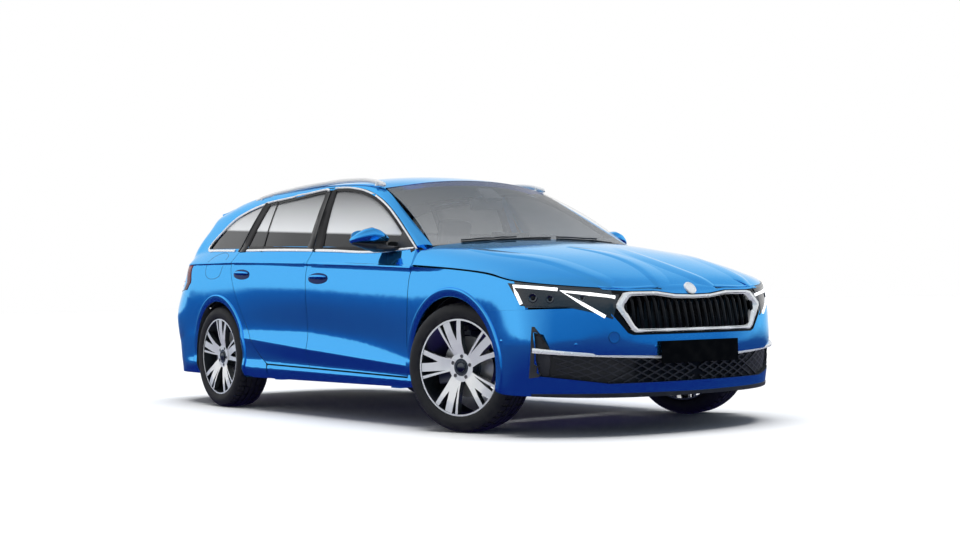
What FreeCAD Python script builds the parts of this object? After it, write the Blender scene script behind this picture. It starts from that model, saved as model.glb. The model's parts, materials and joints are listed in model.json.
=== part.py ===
import FreeCAD, Part
import math
import os
from FreeCAD import Placement, Rotation, Vector

# A five-door station wagon with its front wheels turned to the left.
# The nose points along +X, +Y is the left side, +Z is up.
# The origin lies on the ground, in the middle of the overall box.

doc = FreeCAD.newDocument("station_wagon")

driving_sizes = (
    ("overall_length", 4689),
    ("body_width", 1829),
    ("roof_height", 1445),
    ("wheelbase", 2686),
    ("front_overhang", 879),
    ("tyre_radius", 330),
    ("tyre_width", 225),
    ("tyre_shoulder_radius", 34),
    ("rim_radius", 247),
    ("rim_lip", 9),
    ("rim_width", 200),
    ("wheel_track_half", 775),
    ("hub_radius", 74),
    ("cap_radius", 31),
    ("stud_circle_radius", 56),
    ("disc_radius", 156),
    ("disc_thickness", 24),
    ("arch_radius", 361),
    ("arch_band_proud", 5),
    ("liner_thickness", 5),
    ("liner_inner_half", 470),
    ("steer_rest_angle", 18),
    ("panel_gap", 5),
    ("panel_thickness", 14),
    ("door_thickness", 84),
    ("door_skin_depth", 24),
    ("door_return", 10),
    ("frame_thickness", 30),
    ("frame_width", 26),
    ("glass_thickness", 5),
    ("glass_recess", 5),
    ("glass_fit", 0.4),
    ("bumper_thickness", 40),
    ("roof_thickness", 30),
    ("pillar_thickness", 42),
    ("bonnet_thickness", 22),
    ("tailgate_thickness", 60),
    ("tailgate_core_inset", 14),
    ("lamp_depth", 90),
    ("tail_lamp_depth", 55),
    ("seat_fit", 0.3),
    ("floor_height", 235),
    ("floor_thickness", 28),
    ("plate_length", 520),
    ("plate_height", 110),
    ("plate_thickness", 6),
    ("exhaust_radius", 28),
    ("overrun", 400),
)
sheet = doc.addObject("Spreadsheet::Sheet", "sizes")
for row_number, (alias, number) in enumerate(driving_sizes, start=1):
    sheet.set("A%d" % row_number, alias)
    sheet.set("B%d" % row_number, str(number))
    sheet.setAlias("B%d" % row_number, alias)
doc.recompute()


def size(alias):
    return float(sheet.get(alias))


half_length = size("overall_length") / 2
half_width = size("body_width") / 2
roof_height = size("roof_height")
front_axle = half_length - size("front_overhang")
rear_axle = front_axle - size("wheelbase")
tyre_radius = size("tyre_radius")
gap_half = size("panel_gap") / 2
far = size("overrun")

# Every sub-part is kept here under its node name.
nodes = {}


def keep(name, shape):
    # A finished piece becomes an object of the document with its own label.
    feature = doc.addObject("Part::Feature", name)
    feature.Label = name
    feature.Shape = shape
    nodes[name] = feature
    return feature


# Curves along the car are tables of places, nose first: a share of half the length, then a share of
# half the width or of the roof's height.
def along(table_shares, place_share):
    if place_share >= table_shares[0][0]:
        return table_shares[0][1]
    for (ahead, value), (behind, next_value) in zip(table_shares, table_shares[1:]):
        if place_share >= behind:
            return value + (next_value - value) * (ahead - place_share) / (ahead - behind)
    return table_shares[-1][1]


ridge_height_shares = ((0.83, 0.524), (0.79, 0.541), (0.75, 0.553), (0.62, 0.574), (0.48, 0.588),
                       (0.0, 0.626), (-0.43, 0.650), (-0.71, 0.657), (-0.90, 0.659))
belt_height_shares = ((0.41, 0.661), (0.25, 0.655), (0.06, 0.671), (-0.20, 0.690), (-0.63, 0.714),
                      (-0.95, 0.722))
side_width_shares = ((0.80, 0.966), (0.74, 0.976), (0.66, 0.984), (0.50, 0.988), (0.0, 0.990),
                     (-0.40, 0.987), (-0.55, 0.980), (-0.70, 0.958), (-0.80, 0.930))
belt_width_shares = ((0.50, 0.826), (0.42, 0.840), (0.30, 0.868), (0.13, 0.895), (0.0, 0.908),
                     (-0.20, 0.912), (-0.43, 0.892), (-0.64, 0.846), (-0.80, 0.795), (-0.92, 0.72))
glass_lean_share = 0.42
glass_barrel_share = 0.405

# Rows of the lower side, sill first. Each row has a height and an inset at five stations.
station_shares = (0.62, 0.47, 0.26, 0.0, -0.28, -0.43)
lower_height_shares = (
    (0.147, 0.147, 0.146, 0.145, 0.144, 0.144),
    (0.157, 0.157, 0.160, 0.164, 0.164, 0.164),
    (0.170, 0.170, 0.177, 0.184, 0.186, 0.186),
    (0.187, 0.187, 0.194, 0.202, 0.210, 0.211),
    (0.197, 0.197, 0.206, 0.216, 0.226, 0.229),
    (0.222, 0.219, 0.242, 0.270, 0.303, 0.316),
    (0.232, 0.227, 0.251, 0.280, 0.312, 0.325),
    (0.260, 0.243, 0.290, 0.324, 0.333, 0.342),
    (0.330, 0.324, 0.352, 0.380, 0.388, 0.392),
    (0.412, 0.414, 0.428, 0.449, 0.458, 0.462),
    (0.487, 0.497, 0.514, 0.536, 0.552, 0.556),
    (0.535, 0.547, 0.564, 0.588, 0.616, 0.624),
    (0.553, 0.565, 0.583, 0.606, 0.631, 0.638),
    (0.560, 0.570, 0.589, 0.612, 0.636, 0.643),
)
lower_inset_shares = (
    (0.040, 0.040, 0.040, 0.040, 0.040, 0.040),
    (0.014, 0.014, 0.013, 0.012, 0.012, 0.014),
    (0.006, 0.004, 0.002, 0.000, 0.000, 0.004),
    (0.008, 0.014, 0.015, 0.015, 0.014, 0.010),
    (0.008, 0.016, 0.020, 0.021, 0.019, 0.012),
    (0.008, 0.006, -0.004, -0.006, 0.000, 0.010),
    (0.008, 0.006, -0.003, -0.005, 0.001, 0.010),
    (0.008, 0.010, 0.013, 0.016, 0.013, 0.011),
    (0.006, 0.009, 0.011, 0.013, 0.011, 0.009),
    (0.004, 0.004, 0.004, 0.005, 0.005, 0.005),
    (0.001, 0.001, 0.000, 0.000, 0.000, 0.002),
    (0.004, 0.007, 0.006, 0.006, 0.006, 0.008),
    (0.009, 0.014, 0.013, 0.013, 0.014, 0.016),
    (0.011, 0.020, 0.019, 0.018, 0.017, 0.017),
)
ridge_inset_share = 0.012
shoulder_shares = (0.10, 0.50, 0.85, 1.0)
lower_rows = len(lower_height_shares)
door_bottom_row = 3


def by_station(row_shares, place_share):
    return along(tuple(zip(station_shares, row_shares)), place_share)


def side_point(x, row):
    # A point of the right side by its place along the car and its row; rows past the ridge climb
    # the shoulder to the belt.
    place = x / half_length
    full = along(side_width_shares, place)
    ridge = along(ridge_height_shares, place)
    if row < lower_rows:
        height = by_station(lower_height_shares[row], place)
        nearest = min(max(place, station_shares[-1]), station_shares[0])
        sill = by_station(lower_height_shares[0], place)
        height = sill + (height - sill) * (ridge - sill) / (along(ridge_height_shares, nearest) - sill)
        return Vector(x, -half_width * (full - by_station(lower_inset_shares[row], place)),
                      roof_height * height)
    if row == lower_rows:
        return Vector(x, -half_width * (full - ridge_inset_share), roof_height * ridge)
    climb = shoulder_shares[row - lower_rows - 1]
    top = along(belt_height_shares, place)
    narrow = along(belt_width_shares, place)
    wide = full - ridge_inset_share
    return Vector(x, -half_width * (wide + (narrow - wide) * climb),
                  roof_height * (ridge + (top - ridge) * climb))


def glass_point(x, z):
    # The side windows lean in from the belt and curl a little towards the roof.
    place = x / half_length
    rise = z - roof_height * along(belt_height_shares, place)
    lean = glass_lean_share * rise + glass_barrel_share * rise * rise / roof_height
    return Vector(x, lean - half_width * along(belt_width_shares, place), z)


side_rows = lower_rows + 1 + len(shoulder_shares)


def spline_knots(count, degree):
    spans = count - degree
    return ([degree + 1] + [1] * (spans - 1) + [degree + 1], [i / spans for i in range(spans + 1)])


def patch(rows):
    # A smooth surface drawn by a net of poles.
    surface = Part.BSplineSurface()
    u_degree = min(3, len(rows) - 1)
    v_degree = min(3, len(rows[0]) - 1)
    u_mults, u_knots = spline_knots(len(rows), u_degree)
    v_mults, v_knots = spline_knots(len(rows[0]), v_degree)
    surface.buildFromPolesMultsKnots(rows, u_mults, v_mults, u_knots, v_knots, False, False,
                                     u_degree, v_degree)
    return surface


def edge_of(poles):
    degree = min(3, len(poles) - 1)
    mults, knots = spline_knots(len(poles), degree)
    curve = Part.BSplineCurve()
    curve.buildFromPolesMultsKnots(poles, mults, knots, False, degree)
    return curve.toShape()


def net_normals(rows, inside):
    # Unit vectors off the net, pointing away from the place called inside.
    normals = []
    for i, row in enumerate(rows):
        line = []
        for j, pole in enumerate(row):
            down = rows[min(i + 1, len(rows) - 1)][j] - rows[max(i - 1, 0)][j]
            across = row[min(j + 1, len(row) - 1)] - row[max(j - 1, 0)]
            normal = down.cross(across)
            normal.normalize()
            if normal.dot(pole - inside(pole)) < 0:
                normal = normal * -1
            line.append(normal)
        normals.append(line)
    return normals


def wall(rows, back_rows):
    # A closed solid between two nets of the same make.
    faces = [patch(rows).toShape(), patch(back_rows).toShape()]
    columns = list(zip(*rows))
    back_columns = list(zip(*back_rows))
    for front, back in ((rows[0], back_rows[0]), (rows[-1], back_rows[-1]),
                        (columns[0], back_columns[0]), (columns[-1], back_columns[-1])):
        faces.append(Part.makeRuledSurface(edge_of(list(front)), edge_of(list(back))))
    shell = Part.makeShell(faces)
    shell.sewShape()
    solid = Part.makeSolid(Part.Shell(shell.Faces))
    if solid.Volume < 0:
        solid.reverse()
    return solid


def core_line(pole):
    # The middle of the car at this height; panels face away from it.
    return Vector(pole.x * 0.7, 0, min(pole.z, roof_height * 0.6))


def moved(rows, offset):
    return [[pole + offset for pole in row] for row in rows]


def thick_panel(rows, thickness, start=0.0):
    normals = net_normals(rows, core_line)
    front = [[p - n * start for p, n in zip(*pair)] for pair in zip(rows, normals)]
    back = [[p - n * (start + thickness) for p, n in zip(*pair)] for pair in zip(rows, normals)]
    return wall(front, back)


def mirrored(shape):
    return shape.mirror(Vector(0, 0, 0), Vector(0, 1, 0))


def both(shape):
    # The right-hand piece and its twin on the left.
    return Part.makeCompound([shape, mirrored(shape)])


def largest(shape):
    # The main solid of a cut piece, without its offcuts.
    return max(shape.Solids, key=lambda solid: solid.Volume)


def smooth_edge(points):
    curve = Part.BSplineCurve()
    curve.interpolate(points)
    return curve.toShape()


def side_prism(edges, reach=1.0):
    # A closed outline of edges in the XZ plane, carried across the right half.
    face = Part.Face(Part.Wire(Part.__sortEdges__(edges)))
    return face.extrude(Vector(0, -half_width * 1.2 * reach, 0))


def polygon_prism(points, direction):
    wire = Part.makePolygon(points + [points[0]])
    return Part.Face(wire).extrude(direction)


# Shut lines in side view, from the sill up: shares of half the length and of the roof's height.
front_door_line_shares = ((0.4525, 0.150), (0.4525, 0.190), (0.4535, 0.327), (0.460, 0.443),
                          (0.469, 0.565), (0.473, 0.588), (0.454, 0.612), (0.418, 0.661))
middle_line_shares = ((0.002, 0.150), (0.002, 0.204), (-0.003, 0.362), (-0.004, 0.516),
                      (-0.002, 0.6235), (-0.0135, 0.667), (-0.0175, 0.690))
rear_door_line_shares = ((-0.223, 0.150), (-0.223, 0.2125), (-0.265, 0.228), (-0.2985, 0.2865),
                         (-0.345, 0.378), (-0.393, 0.489), (-0.4265, 0.583), (-0.428, 0.650),
                         (-0.433, 0.702), (-0.400, 0.930))


def line_x(line_shares, z):
    # Where a shut line stands at a height.
    turned = tuple((-height, place) for place, height in line_shares)
    return half_length * along(turned, -z / roof_height)


def side_net(front_line, rear_line, first_row, last_row, columns, front_back=0.0, rear_back=0.0):
    # Poles of a side panel between two shut lines; each edge may stand back from its line.
    rows = []
    for row in range(first_row, last_row + 1):
        line = []
        for column in range(columns):
            share = column / (columns - 1)
            point = side_point(0, row)
            for step in range(6):
                ahead = line_x(front_line, point.z) - front_back
                behind = line_x(rear_line, point.z) + rear_back
                point = side_point(ahead + (behind - ahead) * share, row)
            line.append(point)
        rows.append(line)
    return rows


top_row = side_rows - 1


def door(front_line, rear_line):
    # Outer skin with its flanges, and the thick box behind it, a little smaller all round.
    skin = side_net(front_line, rear_line, door_bottom_row, top_row, 7, gap_half, gap_half)
    inward = Vector(0, 1, 0)
    skin_wall = wall(skin, moved(skin, inward * size("door_skin_depth")))
    back = gap_half + size("door_return")
    box = side_net(front_line, rear_line, door_bottom_row, top_row, 7, back, back)
    shallow = size("door_skin_depth") / 4
    lift = size("door_return")
    bottom = [pole + Vector(0, 0, lift) for pole in box[0]]
    top = [pole + Vector(0, 0, -lift) for pole in box[-1]]
    box = [bottom] + box[2:-1] + [top]
    box_wall = wall(moved(box, inward * shallow), moved(box, inward * size("door_thickness")))
    return skin_wall.fuse(box_wall).removeSplitter()


# The side windows: their upper edge from the front tip to the rear tip, and their two dividers.
window_top_shares = ((0.4201, 0.6644), (0.3045, 0.7806), (0.1885, 0.8754), (0.114, 0.915),
                     (0.0465, 0.9356), (-0.0154, 0.9446), (-0.0768, 0.944), (-0.1668, 0.9363),
                     (-0.2644, 0.9273), (-0.3719, 0.9197), (-0.4073, 0.9149), (-0.503, 0.8893),
                     (-0.5758, 0.8547), (-0.6355, 0.7958), (-0.678, 0.7509), (-0.6867, 0.7301))
middle_split_shares = ((-0.0175, 0.690), (-0.0576, 0.950))
rear_split_shares = ((-0.433, 0.702), (-0.400, 0.930))
window_tip_shares = (-0.672, 0.7165)
window_tip_share = 0.412
mirror_foot_share = 0.352
frame_drop_share = 0.014


def window_top(place_share):
    return along(window_top_shares, place_share)


def split_place(split_shares, height_share):
    (low_x, low_z), (high_x, high_z) = split_shares
    return low_x + (high_x - low_x) * (height_share - low_z) / (high_z - low_z)


def split_crossing(split_shares):
    # Where a divider meets the windows' upper edge.
    height = split_shares[1][1]
    for step in range(12):
        height = window_top(split_place(split_shares, height))
    return split_place(split_shares, height), height


def belt_places(front_share, rear_share, count, drop_share=0.0):
    places = []
    for i in range(count):
        place = front_share + (rear_share - front_share) * i / (count - 1)
        places.append((place, along(belt_height_shares, place) - drop_share))
    return places


def top_places(rear_share, front_share):
    # The upper edge from one divider forward to another.
    inner = [p for p in window_top_shares if rear_share + 0.012 < p[0] < front_share - 0.012]
    return ([(rear_share, window_top(rear_share))] + inner[::-1]
            + [(front_share, window_top(front_share))])


def split_run(split_shares, drop_share):
    low = split_shares[0][0]
    height = along(belt_height_shares, low) - drop_share
    if split_shares is middle_split_shares:
        low = line_x(middle_line_shares, height * roof_height) / half_length
    return [(low, height), split_crossing(split_shares)]


def window_runs(which, tip_share, drop_share=0.0):
    # The outline of one window as runs of places: belt, rear edge, upper edge, front edge. The
    # front window ends at its tip, or further back at the mirror's foot.
    middle = split_run(middle_split_shares, drop_share)
    rear = split_run(rear_split_shares, drop_share)
    front_tip = [(tip_share, window_top(tip_share)), belt_places(tip_share, 0, 2, drop_share)[0]]
    if which == "front":
        return [belt_places(front_tip[1][0], middle[0][0], 7, drop_share), middle,
                top_places(middle[1][0], front_tip[0][0]), front_tip]
    if which == "rear":
        return [belt_places(middle[0][0], rear[0][0], 5, drop_share), rear,
                top_places(rear[1][0], middle[1][0]), middle[::-1]]
    tip = [window_tip_shares, window_top_shares[-1]]
    return [belt_places(rear[0][0], tip[0][0], 5)[:-1] + tip[:1], tip,
            top_places(tip[1][0], rear[1][0]), rear[::-1]]


def real_runs(runs):
    return [[Vector(x * half_length, 0, z * roof_height) for x, z in run] for run in runs]


def inset_runs(runs, distance):
    # Every run moved inwards by the same distance; a negative one widens the outline.
    loop = [point for run in runs for point in run[:-1]]
    count = len(loop)
    area = sum(loop[i].x * loop[(i + 1) % count].z - loop[(i + 1) % count].x * loop[i].z
               for i in range(count))
    turn = 1 if area > 0 else -1
    shifted = []
    for i in range(count):
        before = loop[i] - loop[i - 1]
        after = loop[(i + 1) % count] - loop[i]
        before.normalize()
        after.normalize()
        first = Vector(-before.z, 0, before.x) * turn
        second = Vector(-after.z, 0, after.x) * turn
        middle = first + second
        middle.normalize()
        shifted.append(loop[i] + middle * (distance / max(middle.dot(first), 0.3)))
    result = []
    start = 0
    for run in runs:
        stop = start + len(run) - 1
        result.append([shifted[k % count] for k in range(start, stop + 1)])
        start = stop
    return result


def runs_prism(runs):
    edges = []
    for run in runs:
        if len(run) == 2:
            edges.append(Part.makeLine(run[0], run[1]))
        else:
            edges.append(smooth_edge(run))
    face = Part.Face(Part.Wire(edges))
    return face.extrude(Vector(0, -half_width * 1.2, 0))


def glass_slab(front_place, rear_place, thickness, start):
    # A curved sheet on the surface of the side windows, a little past them all round.
    below = size("frame_width")
    rows = []
    for level_share in (0.0, 0.25, 0.5, 0.75, 1.0):
        line = []
        for i in range(9):
            x = front_place + (rear_place - front_place) * i / 8
            low = roof_height * along(belt_height_shares, x / half_length) - below
            high = roof_height * 0.965
            line.append(glass_point(x, low + (high - low) * level_share))
        rows.append(line)
    return thick_panel(rows, thickness, start)


def window_frame(which):
    runs = real_runs(window_runs(which, window_tip_share, frame_drop_share))
    clear_runs = real_runs(window_runs(which, mirror_foot_share))
    xs = [point.x for run in runs for point in run]
    margin = size("frame_width")
    slab = glass_slab(max(xs) + margin, min(xs) - margin, size("frame_thickness"), 0)
    sheet_slab = glass_slab(max(xs) + margin, min(xs) - margin, size("glass_thickness"),
                            size("glass_recess"))
    outer = inset_runs(runs, gap_half)
    opening = inset_runs(clear_runs, size("frame_width"))
    pane = inset_runs(clear_runs, size("frame_width") + size("glass_fit"))
    frame = slab.common(runs_prism(outer)).cut(runs_prism(opening))
    glass = sheet_slab.common(runs_prism(pane))
    return frame, glass


for end, front_line, rear_line in (("front", front_door_line_shares, middle_line_shares),
                                   ("rear", middle_line_shares, rear_door_line_shares)):
    frame, glass = window_frame(end)
    whole = door(front_line, rear_line).fuse(frame)
    keep("door_%s_right" % end, whole)
    keep("door_%s_left" % end, mirrored(whole))
    keep("glass_%s_right" % end, glass)
    keep("glass_%s_left" % end, mirrored(glass))


# The tail: side rows carry on above the belt to the roof's edge, then everything wraps round the
# corner to the middle of the back.
edge_shares = ((0.174, 0.640, 0.917), (0.128, 0.640, 0.937), (0.043, 0.642, 0.953),
               (-0.085, 0.644, 0.962), (-0.256, 0.643, 0.964), (-0.431, 0.640, 0.960),
               (-0.525, 0.638, 0.949), (-0.625, 0.628, 0.932), (-0.704, 0.612, 0.911),
               (-0.746, 0.592, 0.903))
glass_level_shares = (0.2, 0.45, 0.7, 0.88)
tail_guides_shares = (
    ((-0.805, 0.900), (-0.862, 0.845), (-0.913, 0.745), (-0.947, 0.580), (-0.960, 0.300), (-0.964, 0)),
    ((-0.819, 0.918), (-0.891, 0.862), (-0.953, 0.775), (-0.989, 0.600), (-1.002, 0.310), (-1.004, 0)),
    ((-0.789, 0.845), (-0.849, 0.775), (-0.900, 0.695), (-0.936, 0.560), (-0.953, 0.300), (-0.957, 0)),
    ((-0.765, 0.735), (-0.800, 0.690), (-0.842, 0.625), (-0.877, 0.500), (-0.898, 0.270), (-0.904, 0)),
    ((-0.768, 0.570), (-0.806, 0.500), (-0.832, 0.380), (-0.845, 0.250), (-0.849, 0.120), (-0.850, 0)),
)
tail_level_shares = (0, 0, 0.1, 0.2, 0.25, 0.4, 0.45, 0.6, 0.8, 1.0, 1.3, 1.6, 1.8, 1.85, 2.0,
                     2.03, 2.1, 2.2, 2.25, 2.5, 2.95, 3.4, 3.75, 4.0)
tail_height_shares = (0.149, 0.160, 0.176, 0.197, 0.211, 0.239, 0.249, 0.277, 0.325, 0.374, 0.443,
                      0.512, 0.574, 0.588, 0.644, 0.654, 0.675, 0.696, 0.713, 0.751, 0.810, 0.865,
                      0.900, 0.909)
tail_turn_shares = (0.2, 0.45, 0.7, 0.88, 0.96, 1.0)
tail_side_end_share = -0.746
tail_side_columns = 7


def roof_edge(place):
    ys = tuple((x, y) for x, y, z in edge_shares)
    zs = tuple((x, z) for x, y, z in edge_shares)
    return Vector(place * half_length, -half_width * along(ys, place),
                  roof_height * along(zs, place))


def upper_side_point(x, level):
    # Between the belt and the roof's edge, on the side windows' surface.
    edge = roof_edge(x / half_length)
    if level >= 1.0:
        return edge
    low = roof_height * along(belt_height_shares, x / half_length)
    point = glass_point(x, low + (edge.z - low) * level)
    crowd = max(level - 0.7, 0) / 0.3
    return point * (1 - 0.2 * crowd) + edge * (0.2 * crowd)


def guide_point(guides, level, column):
    low = min(int(level), len(guides) - 2)
    share = level - low
    near, next_one = guides[low][column], guides[low + 1][column]
    return [a + (b - a) * share for a, b in zip(near, next_one)]


def tail_net():
    levels = glass_level_shares + (1.0,)
    count = side_rows + len(levels)
    rows = []
    end = tail_side_end_share * half_length
    for row in range(count):
        line = []
        for column in range(tail_side_columns):
            share = column / (tail_side_columns - 1)
            x = 0
            for step in range(8):
                if row < side_rows:
                    point = side_point(x, row)
                else:
                    point = upper_side_point(x, levels[row - side_rows])
                ahead = line_x(rear_door_line_shares, point.z) - gap_half
                x = ahead + (end - ahead) * share
            line.append(point)
        side_end = line[-1]
        height = roof_height * tail_height_shares[row]
        for column, turn in enumerate(tail_turn_shares):
            x_share, y_share = guide_point(tail_guides_shares, tail_level_shares[row], column)
            line.append(Vector(x_share * half_length, -y_share * half_width,
                               side_end.z + (height - side_end.z) * turn))
        rows.append(line)
    return rows


def whole_width(rows):
    # A half net carried on across the centre plane to the left side.
    return [row + [Vector(p.x, -p.y, p.z) for p in row[:-1][::-1]] for row in rows]


tail_rows = tail_net()
whole_tail_rows = whole_width(tail_rows)


def tail_wall(thickness, start=0.0):
    return thick_panel(tail_rows, thickness, start)


def whole_tail_wall(thickness, start=0.0):
    return thick_panel(whole_tail_rows, thickness, start)


def both_sides(region):
    return region.fuse(mirrored(region))


def side_region(points_shares):
    # A closed polygon in side view, carried across the right half.
    points = [Vector(x * half_length, 0, z * roof_height) for x, z in points_shares]
    return polygon_prism(points, Vector(0, -half_width * 1.2, 0))


def end_region(points_shares, near_x, far_x):
    # A closed polygon seen along the car, carried from one place to another.
    points = [Vector(near_x, -y * half_width, z * roof_height) for y, z in points_shares]
    return polygon_prism(points, Vector(far_x - near_x, 0, 0))


def arch_cut(axle_x, radius):
    return Part.makeCylinder(radius, half_width, Vector(axle_x, -half_width * 1.1, tyre_radius),
                             Vector(0, 1, 0))


back_near = rear_axle - far
back_far = -half_length - far
hinge_line_share = -0.780
hatch_side_shares = ((0.0, 0.448), (0.600, 0.448), (0.622, 0.640), (0.5965, 0.760),
                     (0.5525, 0.865), (0.5445, 0.960), (0.0, 0.960))
hatch_outer_shares = ((0.0, 0.444), (0.606, 0.444), (0.628, 0.640), (0.606, 0.760), (0.562, 0.865),
                      (0.554, 0.960), (0.0, 0.960))
rear_window_shares = ((0.0, 0.700), (0.520, 0.712), (0.560, 0.745), (0.460, 0.868), (0.425, 0.880),
                      (0.0, 0.880))
lamp_side_shares = ((-0.745, 0.657), (-0.757, 0.628), (-0.842, 0.540), (-1.1, 0.540), (-1.1, 0.657))
lamp_outer_side_shares = ((-0.7448, 0.6573), (-0.7568, 0.6279), (-0.8418, 0.5398), (-1.1, 0.5398),
                          (-1.1, 0.6573))
lamp_inner_shares = ((0.340, 0.440), (0.340, 0.760), (0.620, 0.760), (0.620, 0.440))
bumper_top_shares = ((-0.400, 0.100), (-0.400, 0.365), (-0.613, 0.450), (-0.699, 0.489),
                     (-0.838, 0.533), (-1.1, 0.533), (-1.1, 0.100))
body_bottom_shares = ((-0.400, 0.100), (-0.400, 0.3653), (-0.613, 0.4503), (-0.699, 0.4893),
                      (-0.838, 0.5333), (-1.1, 0.5333), (-1.1, 0.100))

hatch_prism = end_region(hatch_side_shares, back_near, back_far)
hatch_clear = end_region(hatch_outer_shares, back_near, back_far)
rear_arch = arch_cut(rear_axle, size("arch_radius"))
skin = tail_wall(size("panel_thickness"))
quarter_runs = real_runs(window_runs("quarter", window_tip_share))
quarter_hole = runs_prism(inset_runs(quarter_runs, size("frame_width") / 2))
quarter = skin.cut(hatch_clear).cut(side_region(body_bottom_shares)).cut(rear_arch)
quarter = quarter.cut(side_region(lamp_outer_side_shares)).cut(quarter_hole)
quarter_slab = glass_slab(quarter_runs[3][0].x + far / 10, quarter_runs[1][1].x - far / 10,
                          size("glass_thickness"), size("glass_recess"))
quarter_pane = runs_prism(inset_runs(quarter_runs, size("frame_width") / 2 + size("glass_fit")))
keep("quarter_glass", both(quarter_slab.common(quarter_pane)))
rear_bumper = whole_tail_wall(size("bumper_thickness")).common(both_sides(
    side_region(bumper_top_shares)))
rear_bumper = rear_bumper.cut(both_sides(hatch_clear)).cut(rear_arch).cut(mirrored(rear_arch))
keep("rear_bumper", rear_bumper)
lamp_block = tail_wall(size("tail_lamp_depth")).common(side_region(lamp_side_shares))
keep("tail_lamps", both(lamp_block.cut(hatch_clear)))
lid_lamp = lamp_block.common(hatch_prism).common(end_region(lamp_inner_shares, back_near, back_far))
keep("lid_lamps", both(lid_lamp))
lamp_hole = side_region(lamp_outer_side_shares).common(end_region(
    ((0.3396, 0.430), (0.3396, 0.770), (0.700, 0.770), (0.700, 0.430)), back_near, back_far))
window_hole = both_sides(end_region(rear_window_shares, back_near, back_far))
core_step = size("tailgate_core_inset") / half_width
core_shares = tuple((max(y - core_step, 0), z) for y, z in hatch_side_shares)
core_prism = end_region(core_shares, back_near, back_far)
core_start = size("panel_thickness") / 2
lid_skin = whole_tail_wall(size("panel_thickness")).common(both_sides(hatch_prism))
lid_core = whole_tail_wall(size("tailgate_thickness") - core_start, core_start).common(
    both_sides(core_prism))
lid = lid_skin.fuse(lid_core)
lid = lid.cut(window_hole).cut(both_sides(lamp_hole))
lid = lid.cut(Part.makeBox(far, 2 * half_width, roof_height,
                           Vector((hinge_line_share - 0.003) * half_length, -half_width, 0)))
rear_pane = whole_tail_wall(size("glass_thickness"), size("glass_recess")).common(window_hole)
keep("rear_glass", rear_pane)

# The nose: the side's lower rows run forward past the wheel and wrap round to the middle.
nose_guides_shares = (
    ((0.8104, 0.950), (0.866, 0.860), (0.917, 0.725), (0.955, 0.570), (0.979, 0.380),
     (0.989, 0.180), (0.991, 0)),
    ((0.8125, 0.962), (0.870, 0.888), (0.9234, 0.755), (0.962, 0.600), (0.985, 0.420),
     (0.997, 0.200), (1.000, 0)),
    ((0.8104, 0.958), (0.868, 0.872), (0.926, 0.735), (0.966, 0.580), (0.981, 0.420),
     (0.985, 0.200), (0.986, 0)),
    ((0.817, 0.945), (0.862, 0.865), (0.911, 0.735), (0.947, 0.585), (0.963, 0.430),
     (0.968, 0.200), (0.970, 0)),
)
nose_level_shares = (0, 0.05, 0.15, 0.3, 0.4, 0.6, 0.65, 0.8, 1.0, 1.4, 1.8, 2.3, 2.6, 2.75, 3)
nose_height_shares = (0.130, 0.142, 0.158, 0.176, 0.197, 0.228, 0.239, 0.266, 0.311, 0.367, 0.415,
                      0.457, 0.478, 0.484, 0.4955)
nose_turn_shares = (0.25, 0.5, 0.75, 0.9, 0.97, 1.0, 1.0)
shut_height_shares = (0.524, 0.5135, 0.503, 0.494, 0.489, 0.493, 0.4955)
nose_side_end_share = 0.770
nose_side_columns = 6


def nose_net():
    rows = []
    end = nose_side_end_share * half_length
    for row in range(lower_rows + 1):
        line = []
        for column in range(nose_side_columns):
            share = column / (nose_side_columns - 1)
            x = end
            for step in range(6):
                point = side_point(x, row)
                start = line_x(front_door_line_shares, point.z) + gap_half
                x = start + (end - start) * share
            line.append(point)
        side_end = line[-1]
        for column, turn in enumerate(nose_turn_shares):
            x_share, y_share = guide_point(nose_guides_shares, nose_level_shares[row], column)
            height = roof_height * nose_height_shares[row]
            z = side_end.z + (height - side_end.z) * turn
            if row == lower_rows:
                z = roof_height * shut_height_shares[column]
            line.append(Vector(x_share * half_length, -y_share * half_width, z))
        rows.append(line)
    return rows


nose_rows = nose_net()
whole_nose_rows = whole_width(nose_rows)


def nose_wall(thickness, start=0.0):
    return thick_panel(nose_rows, thickness, start)


def whole_nose_wall(thickness, start=0.0):
    return thick_panel(whole_nose_rows, thickness, start)


front_near = front_axle - far
front_far = half_length + far
front_arch = arch_cut(front_axle, size("arch_radius"))
fender_bottom_shares = ((0.40, 0.08), (0.40, 0.143), (0.62, 0.143), (0.62, 0.4223), (1.1, 0.4343),
                        (1.1, 0.08))
bumper_line_shares = ((0.62, 0.08), (0.62, 0.422), (1.1, 0.434), (1.1, 0.08))
headlamp_side_shares = ((0.806, 0.62), (0.832, 0.500), (0.851, 0.4343), (0.851, 0.40), (1.1, 0.40),
                        (1.1, 0.62))
headlamp_outer_shares = ((0.8057, 0.62), (0.8317, 0.500), (0.8507, 0.4342), (0.8507, 0.40),
                         (1.1, 0.40), (1.1, 0.62))
headlamp_end_shares = ((1.05, 0.4343), (0.755, 0.4343), (0.630, 0.412), (0.560, 0.412),
                       (0.490, 0.62), (1.05, 0.62))
nose_opening_shares = ((1.05, 0.4340), (0.7553, 0.4340), (0.6303, 0.4117), (0.5597, 0.4117),
                       (0.4703, 0.3447), (0.4403, 0.3377), (0.0, 0.3377), (0.0, 0.62), (1.05, 0.62))
grille_outer_shares = ((0.0, 0.338), (0.440, 0.338), (0.470, 0.345), (0.5594, 0.412),
                       (0.4894, 0.62), (0.0, 0.62))
grille_frame_shares = ((0.0, 0.347), (0.425, 0.347), (0.453, 0.358), (0.533, 0.430), (0.530, 0.440),
                       (0.470, 0.478), (0.440, 0.482), (0.260, 0.482), (0.130, 0.471), (0.0, 0.469))
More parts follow.
